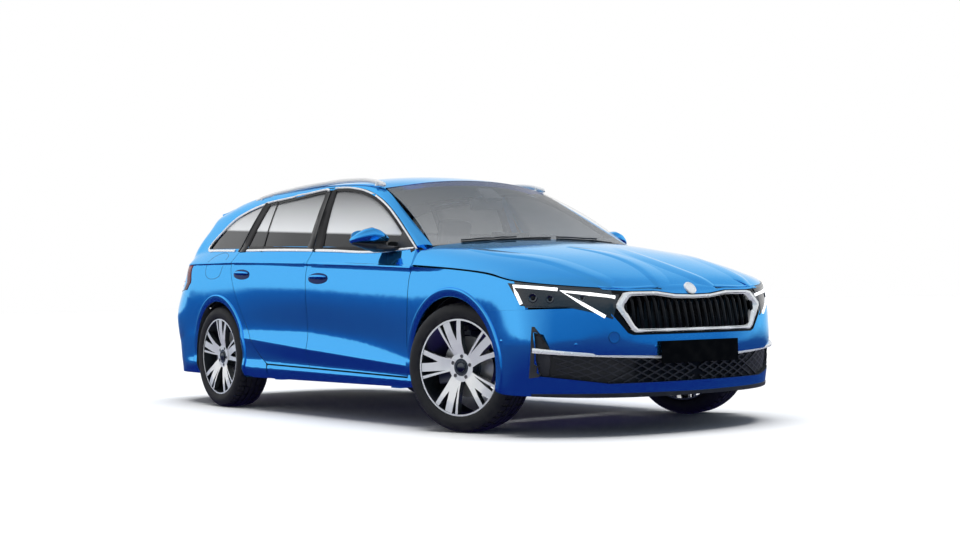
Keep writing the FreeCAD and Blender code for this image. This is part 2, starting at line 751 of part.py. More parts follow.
grille_inner_shares = ((0.0, 0.356), (0.417, 0.356), (0.442, 0.365), (0.508, 0.430), (0.503, 0.437),
                       (0.455, 0.468), (0.430, 0.472), (0.262, 0.472), (0.130, 0.461), (0.0, 0.459))
intake_shares = ((0.0, 0.178), (0.560, 0.178), (0.790, 0.200), (0.855, 0.206), (0.872, 0.262),
                 (0.878, 0.352), (0.846, 0.345), (0.815, 0.278), (0.0, 0.262))
intake_fill_shares = ((0.0, 0.1783), (0.5597, 0.1783), (0.7897, 0.2003), (0.8547, 0.2063),
                      (0.8717, 0.262), (0.8777, 0.3515), (0.8463, 0.3445), (0.8153, 0.2777),
                      (0.0, 0.2617))


def end_band(points_shares):
    return end_region(points_shares, front_near, front_far)


def whole_band(points_shares):
    return both_sides(end_band(points_shares))


fender = nose_wall(size("panel_thickness")).cut(side_region(fender_bottom_shares)).cut(front_arch)
fender = largest(fender.cut(side_region(headlamp_outer_shares)))
keep("fenders", both(fender))
front_bumper = whole_nose_wall(size("bumper_thickness")).common(both_sides(
    side_region(bumper_line_shares)))
front_bumper = front_bumper.cut(front_arch).cut(mirrored(front_arch))
front_bumper = front_bumper.cut(whole_band(nose_opening_shares)).cut(whole_band(intake_shares))
keep("front_bumper", front_bumper)
lamp = nose_wall(size("lamp_depth")).common(side_region(headlamp_side_shares))
headlamps = both(lamp.common(end_band(headlamp_end_shares)))
keep("headlamps", headlamps)
deep = size("lamp_depth") / 2


def front_slab(start, stop):
    # A slice of the nose's front, between two depths behind its skin.
    front = [row[nose_side_columns:-nose_side_columns] for row in whole_nose_rows]
    return wall(moved(front, Vector(-start, 0, 0)), moved(front, Vector(-stop, 0, 0)))


opening = whole_band(grille_inner_shares)
proud = size("arch_band_proud")
block_depth = deep + size("panel_thickness")
grille_block = front_slab(proud, block_depth).common(whole_band(grille_outer_shares))
hollow = front_slab(-deep, deep).common(opening)
frame_ring = front_slab(-proud, deep / 2).common(whole_band(grille_frame_shares)).cut(opening)
rib_count = 10
rib_step = 45.5
rib_width = 11
rib_slats = []
for k in range(rib_count):
    rib_y = (k + 0.5) * rib_step
    rib_slats.append(Part.makeBox(far * 2, rib_width, roof_height,
                                  Vector(front_axle, -rib_y - rib_width / 2, 0)))
rib_region = rib_slats[0].multiFuse(rib_slats[1:] + [mirrored(slat) for slat in rib_slats])
ribs = front_slab(size("panel_thickness"), deep + proud).common(opening).common(rib_region)
grille = grille_block.cut(hollow).fuse(frame_ring)
grille = grille.multiFuse(ribs.Solids)
keep("grille", grille)
lower_grille = whole_nose_wall(size("panel_thickness"), deep / 2).common(
    whole_band(intake_fill_shares))
keep("lower_grille", lower_grille)

# The bonnet runs from the shut line up over the shoulder to the middle, and forward to its edge.
bonnet_rise_shares = ((0.0, 0.0), (0.03, 0.14), (0.07, 0.34), (0.13, 0.60), (0.20, 0.73),
                      (0.34, 0.85), (0.60, 0.95), (1.0, 1.0))
bonnet_centre_shares = ((0.0, 0.694), (0.12, 0.682), (0.27, 0.664), (0.44, 0.640), (0.58, 0.617),
                        (0.71, 0.588), (0.83, 0.557), (0.923, 0.527), (0.978, 0.507), (1.0, 0.4955))
bonnet_row_shares = (0.005, 0.03, 0.07, 0.13, 0.20, 0.30, 0.42, 0.52, 0.66, 0.82, 1.0)
bonnet_column_shares = (0.0, 0.1, 0.25, 0.4, 0.55, 0.68, 0.79, 0.87, 0.925, 0.965, 0.99, 1.0)
bonnet_back_shares = ((0.0, 0.476), (0.07, 0.452), (0.13, 0.434), (0.18, 0.446), (0.24, 0.460),
                      (0.42, 0.479), (0.62, 0.494), (0.80, 0.501), (1.0, 0.504))
door_corner_shares = ((0.4755, 0.540), (0.4755, 0.590), (0.4565, 0.614), (0.4205, 0.664),
                      (0.380, 0.720), (0.300, 0.720), (0.300, 0.540))
bonnet_lip_share = 0.93


def climbing(table_shares, place_share):
    # A table whose places climb.
    return along(tuple((-place, value) for place, value in table_shares), -place_share)


def bonnet_net():
    lip = list(zip(nose_guides_shares[-1], shut_height_shares))
    lip_x = tuple((y, x) for (x, y), z in lip)
    lip_z = tuple((y, z) for (x, y), z in lip)
    rows = []
    side_front = lip[0][0][0]
    for row in bonnet_row_shares:
        back = climbing(bonnet_back_shares, row)
        side_back = bonnet_back_shares[0][1]
        lip_y = lip[0][0][1] * (1 - row)
        front = along(lip_x, lip_y)
        line = []
        for column in bonnet_column_shares:
            x = back + (front - back) * column
            low = side_point(half_length * (side_back + (side_front - side_back) * column),
                             lower_rows)
            centre = roof_height * climbing(bonnet_centre_shares, column)
            height = low.z + (centre - low.z) * climbing(bonnet_rise_shares, row)
            drop = max(column - bonnet_lip_share, 0) / (1 - bonnet_lip_share)
            height = height + (roof_height * along(lip_z, lip_y) - height) * drop ** 2
            line.append(Vector(x * half_length, low.y * (1 - row), height))
        rows.append(line)
    other = [[Vector(p.x, -p.y, p.z) for p in line] for line in rows[:-1][::-1]]
    return rows + other


# What the bonnet keeps clear of: the nose's upper edge all round, and the doors' front corners.
lift = Vector(0, 0, size("panel_gap") + 3)
clear_rows = nose_rows[:-1] + [[pole + lift for pole in nose_rows[-1]]]
nose_clear = thick_panel(clear_rows, size("lamp_depth") + size("panel_gap") * 2, -size("panel_gap"))
bonnet = thick_panel(bonnet_net(), size("bonnet_thickness"))
slab_clear = front_slab(-size("panel_gap"), block_depth + size("panel_gap"))
slab_clear.translate(Vector(0, 0, size("panel_gap")))
bonnet = bonnet.cut(both_sides(nose_clear)).cut(both_sides(side_region(door_corner_shares)))
bonnet = bonnet.cut(slab_clear)
bonnet = largest(bonnet)
keep("bonnet", bonnet)

# The windscreen, wider than its glass so that the pillars can lap it.
screen_low_shares = ((0.446, 0.775, 0.670), (0.469, 0.560, 0.680), (0.490, 0.300, 0.689),
                     (0.497, 0.0, 0.692))
screen_high_shares = ((0.174, 0.640, 0.917), (0.196, 0.470, 0.937), (0.212, 0.240, 0.952),
                      (0.217, 0.0, 0.957))


def screen_net():
    rows = []
    for level in (0.0, 0.25, 0.5, 0.75, 1.0):
        line = []
        for low, high in zip(screen_low_shares, screen_high_shares):
            x, y, z = [a + (b - a) * level for a, b in zip(low, high)]
            bow = 0.012 * 4 * level * (1 - level)
            line.append(Vector(x * half_length + bow * half_length, -y * half_width,
                               z * roof_height + bow * roof_height))
        line = line + [Vector(p.x, -p.y, p.z) for p in line[:-1][::-1]]
        rows.append(line)
    return rows


windscreen = thick_panel(screen_net(), size("glass_thickness"))
keep("windscreen", windscreen)

# The roof panel between the rails, from the windscreen back to the tailgate's hinge line.
roof_crown_shares = ((0.210, 0.957), (0.10, 0.987), (0.0, 0.998), (-0.10, 1.0), (-0.25, 0.998),
                     (-0.43, 0.988), (-0.60, 0.968), (-0.70, 0.951), (-0.785, 0.931), (-0.85, 0.909))
roof_fall_shares = ((0.0, 0.0), (0.25, 0.05), (0.5, 0.21), (0.75, 0.52), (0.9, 0.79), (1.0, 1.0),
                    (1.012, 1.03))


def roof_net(front_share, rear_share, columns):
    rows = []
    for across in (1.012, 0.9, 0.75, 0.5, 0.25, 0.0, -0.25, -0.5, -0.75, -0.9, -1.012):
        line = []
        for i in range(columns):
            place = front_share + (rear_share - front_share) * i / (columns - 1)
            fall = along(tuple((-a, f) for a, f in roof_fall_shares), -abs(across))
            start = 0
            if place > 0.1:
                start = (place - 0.1) / 0.11 * 0.043 * abs(across) ** 2
            place = place - start
            edge = roof_edge(place)
            crown = roof_height * along(roof_crown_shares, place + start)
            line.append(Vector(place * half_length, edge.y * across,
                               crown + (edge.z - crown) * fall))
        rows.append(line)
    return rows


roof = thick_panel(roof_net(0.209, hinge_line_share, 14), size("roof_thickness"))

# The tailgate's spoiler closes the roof behind the hinge line and narrows to its tip.
spoiler_narrow_share = 0.20


def spoiler_net():
    rows = roof_net(hinge_line_share - 0.003, -0.848, 5)[1:-1]
    net = []
    for row in rows:
        line = []
        for i, pole in enumerate(row):
            narrow = 1 - spoiler_narrow_share * i / (len(row) - 1)
            line.append(Vector(pole.x, pole.y * narrow, pole.z))
        net.append(line)
    return net


spoiler_rows = spoiler_net()
spoiler = wall(spoiler_rows, moved(spoiler_rows, Vector(0, 0, -size("roof_thickness"))))
tailgate = lid.fuse(spoiler)
keep("tailgate", tailgate)

# The roof sides: the windscreen pillar and the rail over the doors, in one pressing.
roof_side_shares = (
    (0.4165, 0.4459, 0.775, 0.6700, 0.010), (0.3045, 0.341, 0.726, 0.764, 0.012),
    (0.1885, 0.2300, 0.669, 0.865, 0.012), (0.1140, 0.1760, 0.641, 0.915, 0.011),
    (0.0465, 0.1000, 0.641, 0.944, 0.009), (-0.0768, -0.0768, 0.644, 0.961, 0.008),
    (-0.1668, -0.1668, 0.644, 0.963, 0.008), (-0.2644, -0.2644, 0.643, 0.964, 0.008),
    (-0.3300, -0.3300, 0.642, 0.963, 0.008), (-0.3990, -0.3990, 0.641, 0.962, 0.008),
)


door_top_shares = ((0.4755, 0.540), (0.4755, 0.590), (0.4565, 0.614), (0.4205, 0.664),
                   (0.300, 0.664), (0.300, 0.540))
roof_lap_share = 0.12
roof_edge_start = 0.12 * half_length


def roof_side_net():
    columns = []
    for low_x, high_x, high_y, high_z, bulge in roof_side_shares:
        low = glass_point(low_x * half_length, window_top(low_x) * roof_height + gap_half)
        high = Vector(high_x * half_length, -high_y * half_width, high_z * roof_height)
        columns.append((low, high, bulge * roof_height))
    net = []
    for i, (low, high, bulge) in enumerate(columns):
        ahead = columns[max(i - 1, 0)]
        behind = columns[min(i + 1, len(columns) - 1)]
        run = (behind[0] + behind[1]) - (ahead[0] + ahead[1])
        out = run.cross(high - low)
        out.normalize()
        if out.y > 0:
            out = out * -1
        corner = low + (high - low) * 0.45 + out * bulge
        lap = roof_lap_share if high.x < roof_edge_start else 0
        net.append([low, low + (corner - low) * 0.75, high + (corner - high) * 0.55,
                    high + (high - corner) * lap])
    return [list(row) for row in zip(*net)]


def plan_region(sign):
    # Seen from above, all that lies inside or outside the roof's edge line on the right.
    fit = -size("seat_fit") / 2 * sign
    line = [Vector(half_length, -half_width * edge_shares[0][1] - fit, 0)]
    line += [Vector(x * half_length, -half_width * y - fit, 0) for x, y, z in edge_shares]
    line += [Vector(-half_length, line[-1].y, 0)]
    side_y = 0 if sign < 0 else -half_width * 1.2
    line += [Vector(-half_length, side_y, 0), Vector(half_length, side_y, 0)]
    return polygon_prism(line, Vector(0, 0, roof_height * 1.1))


inside_region = plan_region(-1)
outside_region = plan_region(1)
roof_side = thick_panel(roof_side_net(), size("pillar_thickness")).cut(inside_region)
for end in ("front", "rear"):
    outline = real_runs(window_runs(end, window_tip_share, frame_drop_share))
    roof_side = roof_side.cut(runs_prism(inset_runs(outline, -gap_half)))
roof_side = largest(roof_side.cut(side_region(door_top_shares)))
keep("roof_sides", both(roof_side))
roof = largest(roof.cut(both_sides(outside_region)))
keep("roof", roof)
quarter = largest(quarter.cut(inside_region))
keep("quarters", both(quarter))

# Pieces built from plain bodies are bound to the sheet by expressions.
def bound(kind, name, lengths, spot=None, turn=None):
    # A primitive whose lengths follow the sheet.
    item = doc.addObject(kind, name)
    for key, text in lengths.items():
        item.setExpression(key, text)
    if spot is not None:
        item.Placement = Placement(spot, turn or Rotation())
    return item


def bound_box(name, x_text, y_text, z_text, corner):
    return bound("Part::Box", name, {"Length": x_text, "Width": y_text, "Height": z_text}, corner)


def span(x_low, x_high, y_low, y_high, z_low, z_high):
    # A box between two corners.
    return Part.makeBox(x_high - x_low, y_high - y_low, z_high - z_low, Vector(x_low, y_low, z_low))


def rounded(shape, radius):
    return shape.makeFillet(radius, shape.Edges)


# A tyre: a drum with a bore and rounded shoulders, axis along Z until it is set in place.
tyre_body = doc.addObject("PartDesign::Body", "tyre_body")
drum = tyre_body.newObject("PartDesign::AdditiveCylinder", "tyre_drum")
drum.setExpression("Radius", "sizes.tyre_radius")
drum.setExpression("Height", "sizes.tyre_width")
bore = tyre_body.newObject("PartDesign::SubtractiveCylinder", "tyre_bore")
bore.setExpression("Radius", "sizes.rim_radius")
bore.setExpression("Height", "sizes.tyre_width")
doc.recompute()
shoulder_edges = ["Edge%d" % i for i, edge in enumerate(bore.Shape.Edges, start=1)
                  if hasattr(edge.Curve, "Radius") and len(edge.Vertexes) == 1
                  and edge.Curve.Radius > size("rim_radius") + size("rim_lip")]
shoulder = tyre_body.newObject("PartDesign::Fillet", "tyre_shoulder")
shoulder.Base = (bore, shoulder_edges)
shoulder.setExpression("Radius", "sizes.tyre_shoulder_radius")
doc.recompute()

# The wheel, drawn about Z with its outer face up; the tyre's middle plane is at zero.
rim_drum = bound("Part::Cylinder", "rim_drum", {"Radius": "sizes.rim_radius - sizes.seat_fit",
                                               "Height": "sizes.rim_width"})
rim_hollow = bound("Part::Cylinder", "rim_hollow", {"Radius": "sizes.rim_radius - sizes.rim_lip",
                                                   "Height": "sizes.rim_width"})
rim_ring = doc.addObject("Part::Cut", "rim_ring")
rim_ring.Base = rim_drum
rim_ring.Tool = rim_hollow
brake_disc = bound("Part::Cylinder", "brake_disc", {"Radius": "sizes.disc_radius",
                                                   "Height": "sizes.disc_thickness"})
doc.recompute()
rim_radius = size("rim_radius")
half_rim = size("rim_width") / 2
half_disc = size("disc_thickness") / 2
hub_radius = size("hub_radius")
dish_shares = ((0.05, 0.60, 0.135), (0.30, 0.77, 0.40), (0.48, 0.88, 0.56), (0.75, 0.955, 0.62),
               (0.975, 0.965, 0.66))
spoke_outlines_shares = (
    ((0.20, -6.0), (0.45, -2.6), (0.975, -2.0), (0.975, 1.6), (0.45, 2.6), (0.20, 8.0)),
    ((0.20, 0.0), (0.45, 4.0), (0.975, 7.0), (0.975, 17.5), (0.70, 20.5), (0.52, 26.0), (0.40, 32.0),
     (0.20, 44.0)),
    ((0.40, 18.0), (0.56, 24.5), (0.75, 27.5), (0.975, 29.0), (0.975, 35.0), (0.75, 35.5),
     (0.50, 38.0), (0.20, 62.0), (0.20, 20.0)),
)
wheel_turn_front = -31.0
wheel_turn_rear = -10.0
spoke_count = 5


def dish():
    # The body of revolution that all spokes are cut from.
    top = [Vector(rim_radius * r, 0, half_rim * high) for r, high, low in dish_shares]
    low = [Vector(rim_radius * r, 0, half_rim * under) for r, high, under in dish_shares]
    face = Part.Face(Part.makePolygon(top + low[::-1] + top[:1]))
    return face.revolve(Vector(0, 0, 0), Vector(0, 0, 1), 360)


def wheel_shape(turn_angle):
    ring = rim_ring.Shape.copy()
    ring.translate(Vector(0, 0, -half_rim))
    prisms = []
    for k in range(spoke_count):
        for outline in spoke_outlines_shares:
            points = []
            for r, angle in outline:
                a = math.radians(angle + turn_angle + k * 360 / spoke_count)
                points.append(Vector(rim_radius * r * math.sin(a), rim_radius * r * math.cos(a), 0))
            prisms.append(polygon_prism(points, Vector(0, 0, half_rim)))
    cutter = prisms[0].multiFuse(prisms[1:])
    spokes = dish().common(cutter)
    stub = size("disc_thickness") + half_disc - 2
    hub = Part.makeCylinder(hub_radius, half_rim * 0.76 - stub, Vector(0, 0, stub))
    cap = Part.makeCylinder(size("cap_radius"), half_rim * 0.80 - stub, Vector(0, 0, stub))
    hat = Part.makeCylinder(hub_radius + half_disc / 2, stub, Vector(0, 0, 0))
    disc = brake_disc.Shape.copy()
    disc.translate(Vector(0, 0, -half_disc))
    whole = ring.multiFuse([spokes, hub, cap, hat, disc])
    for k in range(spoke_count):
        a = math.radians((k + 0.5) * 360 / spoke_count + turn_angle)
        spot = Vector(math.sin(a), math.cos(a), 0) * size("stud_circle_radius")
        pocket = Part.makeCylinder(half_disc - 2, half_disc, spot + Vector(0, 0, half_rim * 0.68))
        whole = whole.cut(pocket)
    bearing = Part.makeCylinder(stub_radius + running_fit, stub_reach + half_disc + 2,
                                Vector(0, 0, -half_disc - 1))
    return whole.cut(bearing).removeSplitter()


# The knuckle behind the disc, with the brake caliper over the disc's rim, in the wheel's frame. Its
# stub axle runs in the hub, and at the front a pin of the strut's arm runs in its upper bracket.
pin_radius = 12
stub_radius = 24
running_fit = 0.3
stub_reach = 28


def knuckle_shape(caliper_angle, steered):
    clear = half_disc + 5
    drum_part = Part.makeCylinder(hub_radius * 0.75, hub_radius * 0.72, Vector(0, 0, -clear),
                                  Vector(0, 0, -1))
    upright = span(-30, 30, -105, 105, -clear - 50, -clear - 12)
    caliper = span(-62, 62, 98, 190, -clear - 24, clear + 14)
    slot = Part.makeCylinder(size("disc_radius") + 6, clear * 2, Vector(0, 0, -clear))
    caliper = rounded(caliper, 8).cut(slot)
    bracket = span(-30, 30, 20, 150, -clear - 22, -clear - 1)
    caliper = caliper.fuse(bracket)
    caliper.rotate(Vector(0, 0, 0), Vector(0, 0, 1), caliper_angle)
    stub_axle = Part.makeCylinder(stub_radius, clear + stub_reach, Vector(0, 0, -clear - 1))
    parts = [upright, caliper, stub_axle]
    if steered:
        bracket_low = 493 - tyre_radius
        parts.append(span(-25, 25, 90, bracket_low + 18, -clear - 50, -clear - 20))
        parts.append(span(-25, 25, bracket_low, bracket_low + 18, -clear - 50, 22))
    whole = drum_part.multiFuse(parts)
    if steered:
        eye = Part.makeCylinder(pin_radius + running_fit, 60, Vector(0, bracket_low - 20, 0),
                                Vector(0, 1, 0))
        whole = whole.cut(eye)
    return whole


def to_side(shape, axle_x, side, steer_angle=0.0):
    # From the wheel's own frame to its corner: side is -1 on the right. Up in the wheel's frame is
    # outwards; its Y is up.
    piece = shape.copy()
    piece.rotate(Vector(0, 0, 0), Vector(1, 0, 0), 90)
    # Now Z became -Y: the outer face looks to the right.
    if side > 0:
        piece = mirrored(piece)
    piece.rotate(Vector(0, 0, 0), Vector(0, 0, 1), steer_angle)
    piece.translate(Vector(axle_x, side * size("wheel_track_half"), tyre_radius))
    return piece


tyre_shape = tyre_body.Shape.copy()
tyre_shape.translate(Vector(0, 0, -size("tyre_width") / 2))
front_wheel = wheel_shape(wheel_turn_front)
rear_wheel = wheel_shape(wheel_turn_rear)
front_knuckle = knuckle_shape(100, True)
rear_knuckle = knuckle_shape(80, False)
steer = size("steer_rest_angle")
for side, side_name in ((-1, "right"), (1, "left")):
    keep("tyre_front_" + side_name, to_side(tyre_shape, front_axle, side, steer))
    keep("tyre_rear_" + side_name, to_side(tyre_shape, rear_axle, side))
    keep("wheel_front_" + side_name, to_side(front_wheel, front_axle, side, steer))
    keep("wheel_rear_" + side_name, to_side(rear_wheel, rear_axle, side))
    keep("knuckle_" + side_name, to_side(front_knuckle, front_axle, side, steer))

# The rear axle: a beam between two knuckles, with its trailing arms.
beam_radius = 38
beam_z = tyre_radius - 30
step_rear = -840
inner_half = size("liner_inner_half")
beam_half = size("wheel_track_half") - half_disc - 50
beam = Part.makeCylinder(beam_radius, 2 * beam_half, Vector(rear_axle, -beam_half, beam_z),
                         Vector(0, 1, 0))
rear_parts = [to_side(rear_knuckle, rear_axle, -1), to_side(rear_knuckle, rear_axle, 1)]
for side in (-1, 1):
    rear_parts.append(span(rear_axle, step_rear - size("seat_fit"), side * 420 - 30, side * 420 + 30,
                           beam_z - 30, beam_z + 30))
keep("rear_axle", beam.multiFuse(rear_parts))

# Wheel-arch liners: an arc over the wheel and a wall on the inner side.
arch = size("arch_radius")
liner_out = arch + size("liner_thickness")
front_liner_reach = 832.2
rear_liner_reach = 890


def liner(axle_x, low_z, liner_reach):
    tube = Part.makeCylinder(liner_out, liner_reach - inner_half, Vector(axle_x, -liner_reach,
                             tyre_radius), Vector(0, 1, 0))
    tube = tube.cut(Part.makeCylinder(arch, liner_reach - inner_half, Vector(axle_x, -liner_reach
                    - size("liner_thickness"), tyre_radius), Vector(0, 1, 0)))
    above = span(axle_x - far, axle_x + far, -liner_reach, -inner_half, low_z, roof_height)
    tube = tube.common(above)
    return tube.cut(span(axle_x - far, axle_x + far, -inner_half - size("liner_thickness"),
                         -inner_half + 1, low_z - 1, tyre_radius + 50))


liner_depth = size("bumper_thickness") + size("seat_fit")
liner_trim = 20
front_liner = largest(liner(front_axle, 240, front_liner_reach))
rear_liner = liner(rear_axle, 312, rear_liner_reach)
rear_liner = largest(rear_liner.cut(tail_wall(liner_depth + liner_trim, -liner_trim)))
keep("arch_liners", Part.makeCompound([front_liner, mirrored(front_liner), rear_liner,
                                       mirrored(rear_liner)]))

# The sills with the posts between the doors.
sill_rows = side_net(((0.4535, 0.10), (0.4535, 0.30)), ((-0.221, 0.10), (-0.221, 0.30)), 0,
                     door_bottom_row, 7)
sill_top_drop = size("panel_gap") + 4
sill_rows[-1] = [pole + Vector(0, 0, -sill_top_drop) for pole in sill_rows[-1]]
sill_inner = 800
floor_top = size("floor_height") + size("floor_thickness")
sill = wall(sill_rows, [[Vector(p.x, -sill_inner, p.z) for p in row] for row in sill_rows])
post_line = ((806, 0.205), (800, 0.40), (796, 0.580), (733, 0.650), (733, 0.690), (610, 0.900),
             (584, 0.925))
post_points = [Vector(-20, -y, z * roof_height) for y, z in post_line]
post_back = [p + Vector(0, 46, 0) for p in post_points]
post_face = Part.Face(Part.makePolygon(post_points + post_back[::-1] + post_points[:1]))
post = post_face.extrude(Vector(-80, 0, 0))
foot = span(-110, 0, -806, -757, floor_top + size("seat_fit"), 0.215 * roof_height)
jack_pads = [span(x, x + 90, -862, -812, 203, 225) for x in (-480, 850)]
sill = sill.multiFuse([foot, post] + jack_pads).removeSplitter()
keep("sills", both(sill))

# The floor pan: front floor, tunnel, bulkhead, the step under the bench and the load floor.
floor_low = size("floor_height")
floor_thick = size("floor_thickness")
floor_high = floor_low + floor_thick
floor_half = sill_inner - size("seat_fit")
pan_parts = [
    span(-520, 1040, -floor_half, floor_half, floor_low, floor_high),
    span(-395, 1040, -105, 105, floor_low, floor_high + 130),
    span(1040, 1065, -floor_half + 60, floor_half - 60, floor_low, 900),
    span(step_rear, -500, -floor_half, floor_half, floor_low, floor_high + 90),
    span(-1640, -820, size("seat_fit") - inner_half, inner_half - size("seat_fit"), 345, 545),
    span(-2140, -1600, -500, 500, 400, 545),
    span(-2100, -1600, -330, 330, 300, 405),
]
pan = pan_parts[0].multiFuse(pan_parts[1:]).removeSplitter()
keep("floor_pan", pan)

keep("engine_block", rounded(span(front_axle - 290, front_axle + 230, -310, 310, 252, 792), 30))

# The front subframe with its arms and struts.
sub_parts = [span(front_axle - 260, front_axle + 230, -400, 400, 200, 251.7)]
track = size("wheel_track_half")
for side in (-1, 1):
    sub_parts.append(span(front_axle - 30, front_axle + 30, min(side * 380, side * 600),
                          max(side * 380, side * 600), 200, 235))
    sub_parts.append(Part.makeCylinder(24, tyre_radius + arch - 221.2,
                                       Vector(front_axle, side * 575, 220)))
    sub_parts.append(span(front_axle - 20, front_axle + 20, min(side * 560, side * (track + 18)),
                          max(side * 560, side * (track + 18)), 518, 540))
    sub_parts.append(Part.makeCylinder(pin_radius, 30, Vector(front_axle, side * track, 492)))
keep("front_subframe", sub_parts[0].multiFuse(sub_parts[1:]))

# The exhaust under the floor, with its silencer behind the rear axle.
pipe_radius = size("exhaust_radius")
pipe_z = floor_low - pipe_radius - size("seat_fit")
pipe = Part.makeCylinder(pipe_radius, 2700, Vector(-1700, -220, pipe_z), Vector(1, 0, 0))
silencer = rounded(span(-2110, -1680, -480, -80, 185, 299), 35)
keep("exhaust", pipe.fuse(silencer))


# Seats: a cushion, a leaning back and a head restraint.
def seat(x_front, x_back, half, low, cushion_top, back_top, rest_top, lean, rest_half):
    cushion = rounded(span(x_back, x_front, -half, half, low, cushion_top), 28)
    back = rounded(span(0, 120, -half, half, 0, back_top - cushion_top + 130), 30)
    back.rotate(Vector(0, 0, 0), Vector(0, 1, 0), -lean)
    back.translate(Vector(x_back - 10, 0, cushion_top - 130))
    rest = rounded(span(0, 85, -rest_half, rest_half, 0, rest_top - back_top + 60), 24)
    rest.rotate(Vector(0, 0, 0), Vector(0, 1, 0), -lean)
    dx = math.tan(math.radians(lean)) * (back_top - cushion_top + 60)
    rest.translate(Vector(x_back - dx + 5, 0, back_top - 50))
    return cushion, back, rest


def placed_seat(y, parts):
    pieces = [part.copy() for part in parts]
    for piece in pieces:
        piece.translate(Vector(0, y, 0))
    return pieces[0].multiFuse(pieces[1:])


front_parts = seat(430, -90, 255, floor_high + size("seat_fit"), 520, 1060, 1215, 18, 125)
keep("front_seats", Part.makeCompound([placed_seat(-370, front_parts), placed_seat(370, front_parts)]))
bench_low = floor_high + 90 + size("seat_fit")
bench_parts = seat(-400, -860, 640, bench_low, 540, 1010, 1120, 10, 125)
bench = bench_parts[0].fuse(bench_parts[1])
rest_pieces = []
for y in (-400, 0, 400):
    piece = bench_parts[2].copy()
    piece.translate(Vector(0, y, 0))
    rest_pieces.append(piece)
bench = bench.multiFuse(rest_pieces)
for side in (-1, 1):
    bench = bench.cut(Part.makeCylinder(liner_out + 4, far, Vector(rear_axle, side * (inner_half - 4),
                      tyre_radius), Vector(0, side, 0)))
bench = bench.cut(span(-1640, -820, -inner_half, inner_half, 340, 547))
keep("rear_bench", bench)

# The dashboard and the steering wheel.
dash_line = ((1039.7, 560), (1039.7, 945), (960, 962), (800, 955), (735, 925), (720, 880), (760, 780),
             (800, 640), (860, 560))
dash = polygon_prism([Vector(x, -668, z) for x, z in dash_line], Vector(0, 1336, 0))
dash = rounded(dash, 12)
keep("dashboard", dash)
wheel_rim = Part.makeTorus(178, 15)
wheel_hub = Part.makeCylinder(58, 40, Vector(0, 0, -30))
bars = span(-172, 172, -16, 16, -16, 4).fuse(span(-18, 18, -172, 0, -16, 4))
column = Part.makeCylinder(22, 56, Vector(0, 0, -84.2))
steering = wheel_rim.multiFuse([wheel_hub, bars, column])
steering.rotate(Vector(0, 0, 0), Vector(0, 0, 1), -90)
steering.rotate(Vector(0, 0, 0), Vector(0, 1, 0), -65)
steering.translate(Vector(640, 370, 880))
keep("steering_wheel", steering)

# Roof rails over the roof's edge.
rail_line_shares = ((0.160, 0.9465), (0.138, 0.961), (0.10, 0.970), (0.0, 0.980), (-0.15, 0.983),
                    (-0.35, 0.981), (-0.45, 0.973), (-0.505, 0.963), (-0.525, 0.953))
rail_foot_shares = ((-0.525, 0.940), (-0.431, 0.950), (-0.256, 0.953), (-0.085, 0.951),
                    (0.043, 0.942), (0.128, 0.925), (0.160, 0.915))
rail_top = smooth_edge([Vector(x * half_length, 0, z * roof_height) for x, z in rail_line_shares])
rail_low = smooth_edge([Vector(x * half_length, 0, z * roof_height) for x, z in rail_foot_shares])
rail_ends = [Part.makeLine(rail_top.Vertexes[0].Point, rail_low.Vertexes[-1].Point),
             Part.makeLine(rail_top.Vertexes[-1].Point, rail_low.Vertexes[0].Point)]
rail = side_prism([rail_top, rail_low] + rail_ends)
rail = rail.common(span(-half_length, half_length, -606, -572, 0, roof_height + 10))
rail = largest(rail.cut(roof).cut(roof_side).cut(quarter))
keep("roof_rails", both(rail))

# The blank number plate on the front bumper.
plate = bound_box("plate", "sizes.plate_thickness", "sizes.plate_length", "sizes.plate_height",
                  Vector(half_length - size("plate_thickness"), -size("plate_length") / 2, 346))
doc.recompute()
plate_pad = span(half_length - 60, half_length - size("plate_thickness"), -190, 190, 356, 446)
plate_whole = plate.Shape.fuse(plate_pad).cut(front_bumper).cut(lower_grille)
keep("number_plate", max(plate_whole.Solids, key=lambda s: s.BoundBox.XMax))

# Door mirrors: a housing on a short arm over the door's front corner.
mirror_body = rounded(span(630, 765, -1006, -806, 962, 1086), 42)
arm = rounded(span(668, 748, -850, -740, 945, 985), 14)
mirror = mirror_body.fuse(arm).cut(nodes["door_front_right"].Shape)
mirror = mirror.cut(nodes["glass_front_right"].Shape)
mirror = max(mirror.Solids, key=lambda s: s.Volume)
keep("mirror_right", mirror)
keep("mirror_left", mirrored(mirror))

# Nothing is written unless every object is sound.
doc.recompute()
for thing in doc.Objects:
    if "Invalid" in thing.State or "Error" in thing.State:
        raise RuntimeError("object %s is in state %s" % (thing.Name, thing.State))
for name, feature in nodes.items():
    if feature.Shape.isNull() or not feature.Shape.isValid() or not feature.Shape.Solids:
        raise RuntimeError("piece %s has no sound solid" % name)
os.makedirs("parts", exist_ok=True)
for name, feature in nodes.items():
    feature.Shape.exportStep("parts/%s.step" % name)
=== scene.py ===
import json
import math

import bmesh
import bpy
from mathutils import Matrix, Vector
from mathutils.bvhtree import BVHTree

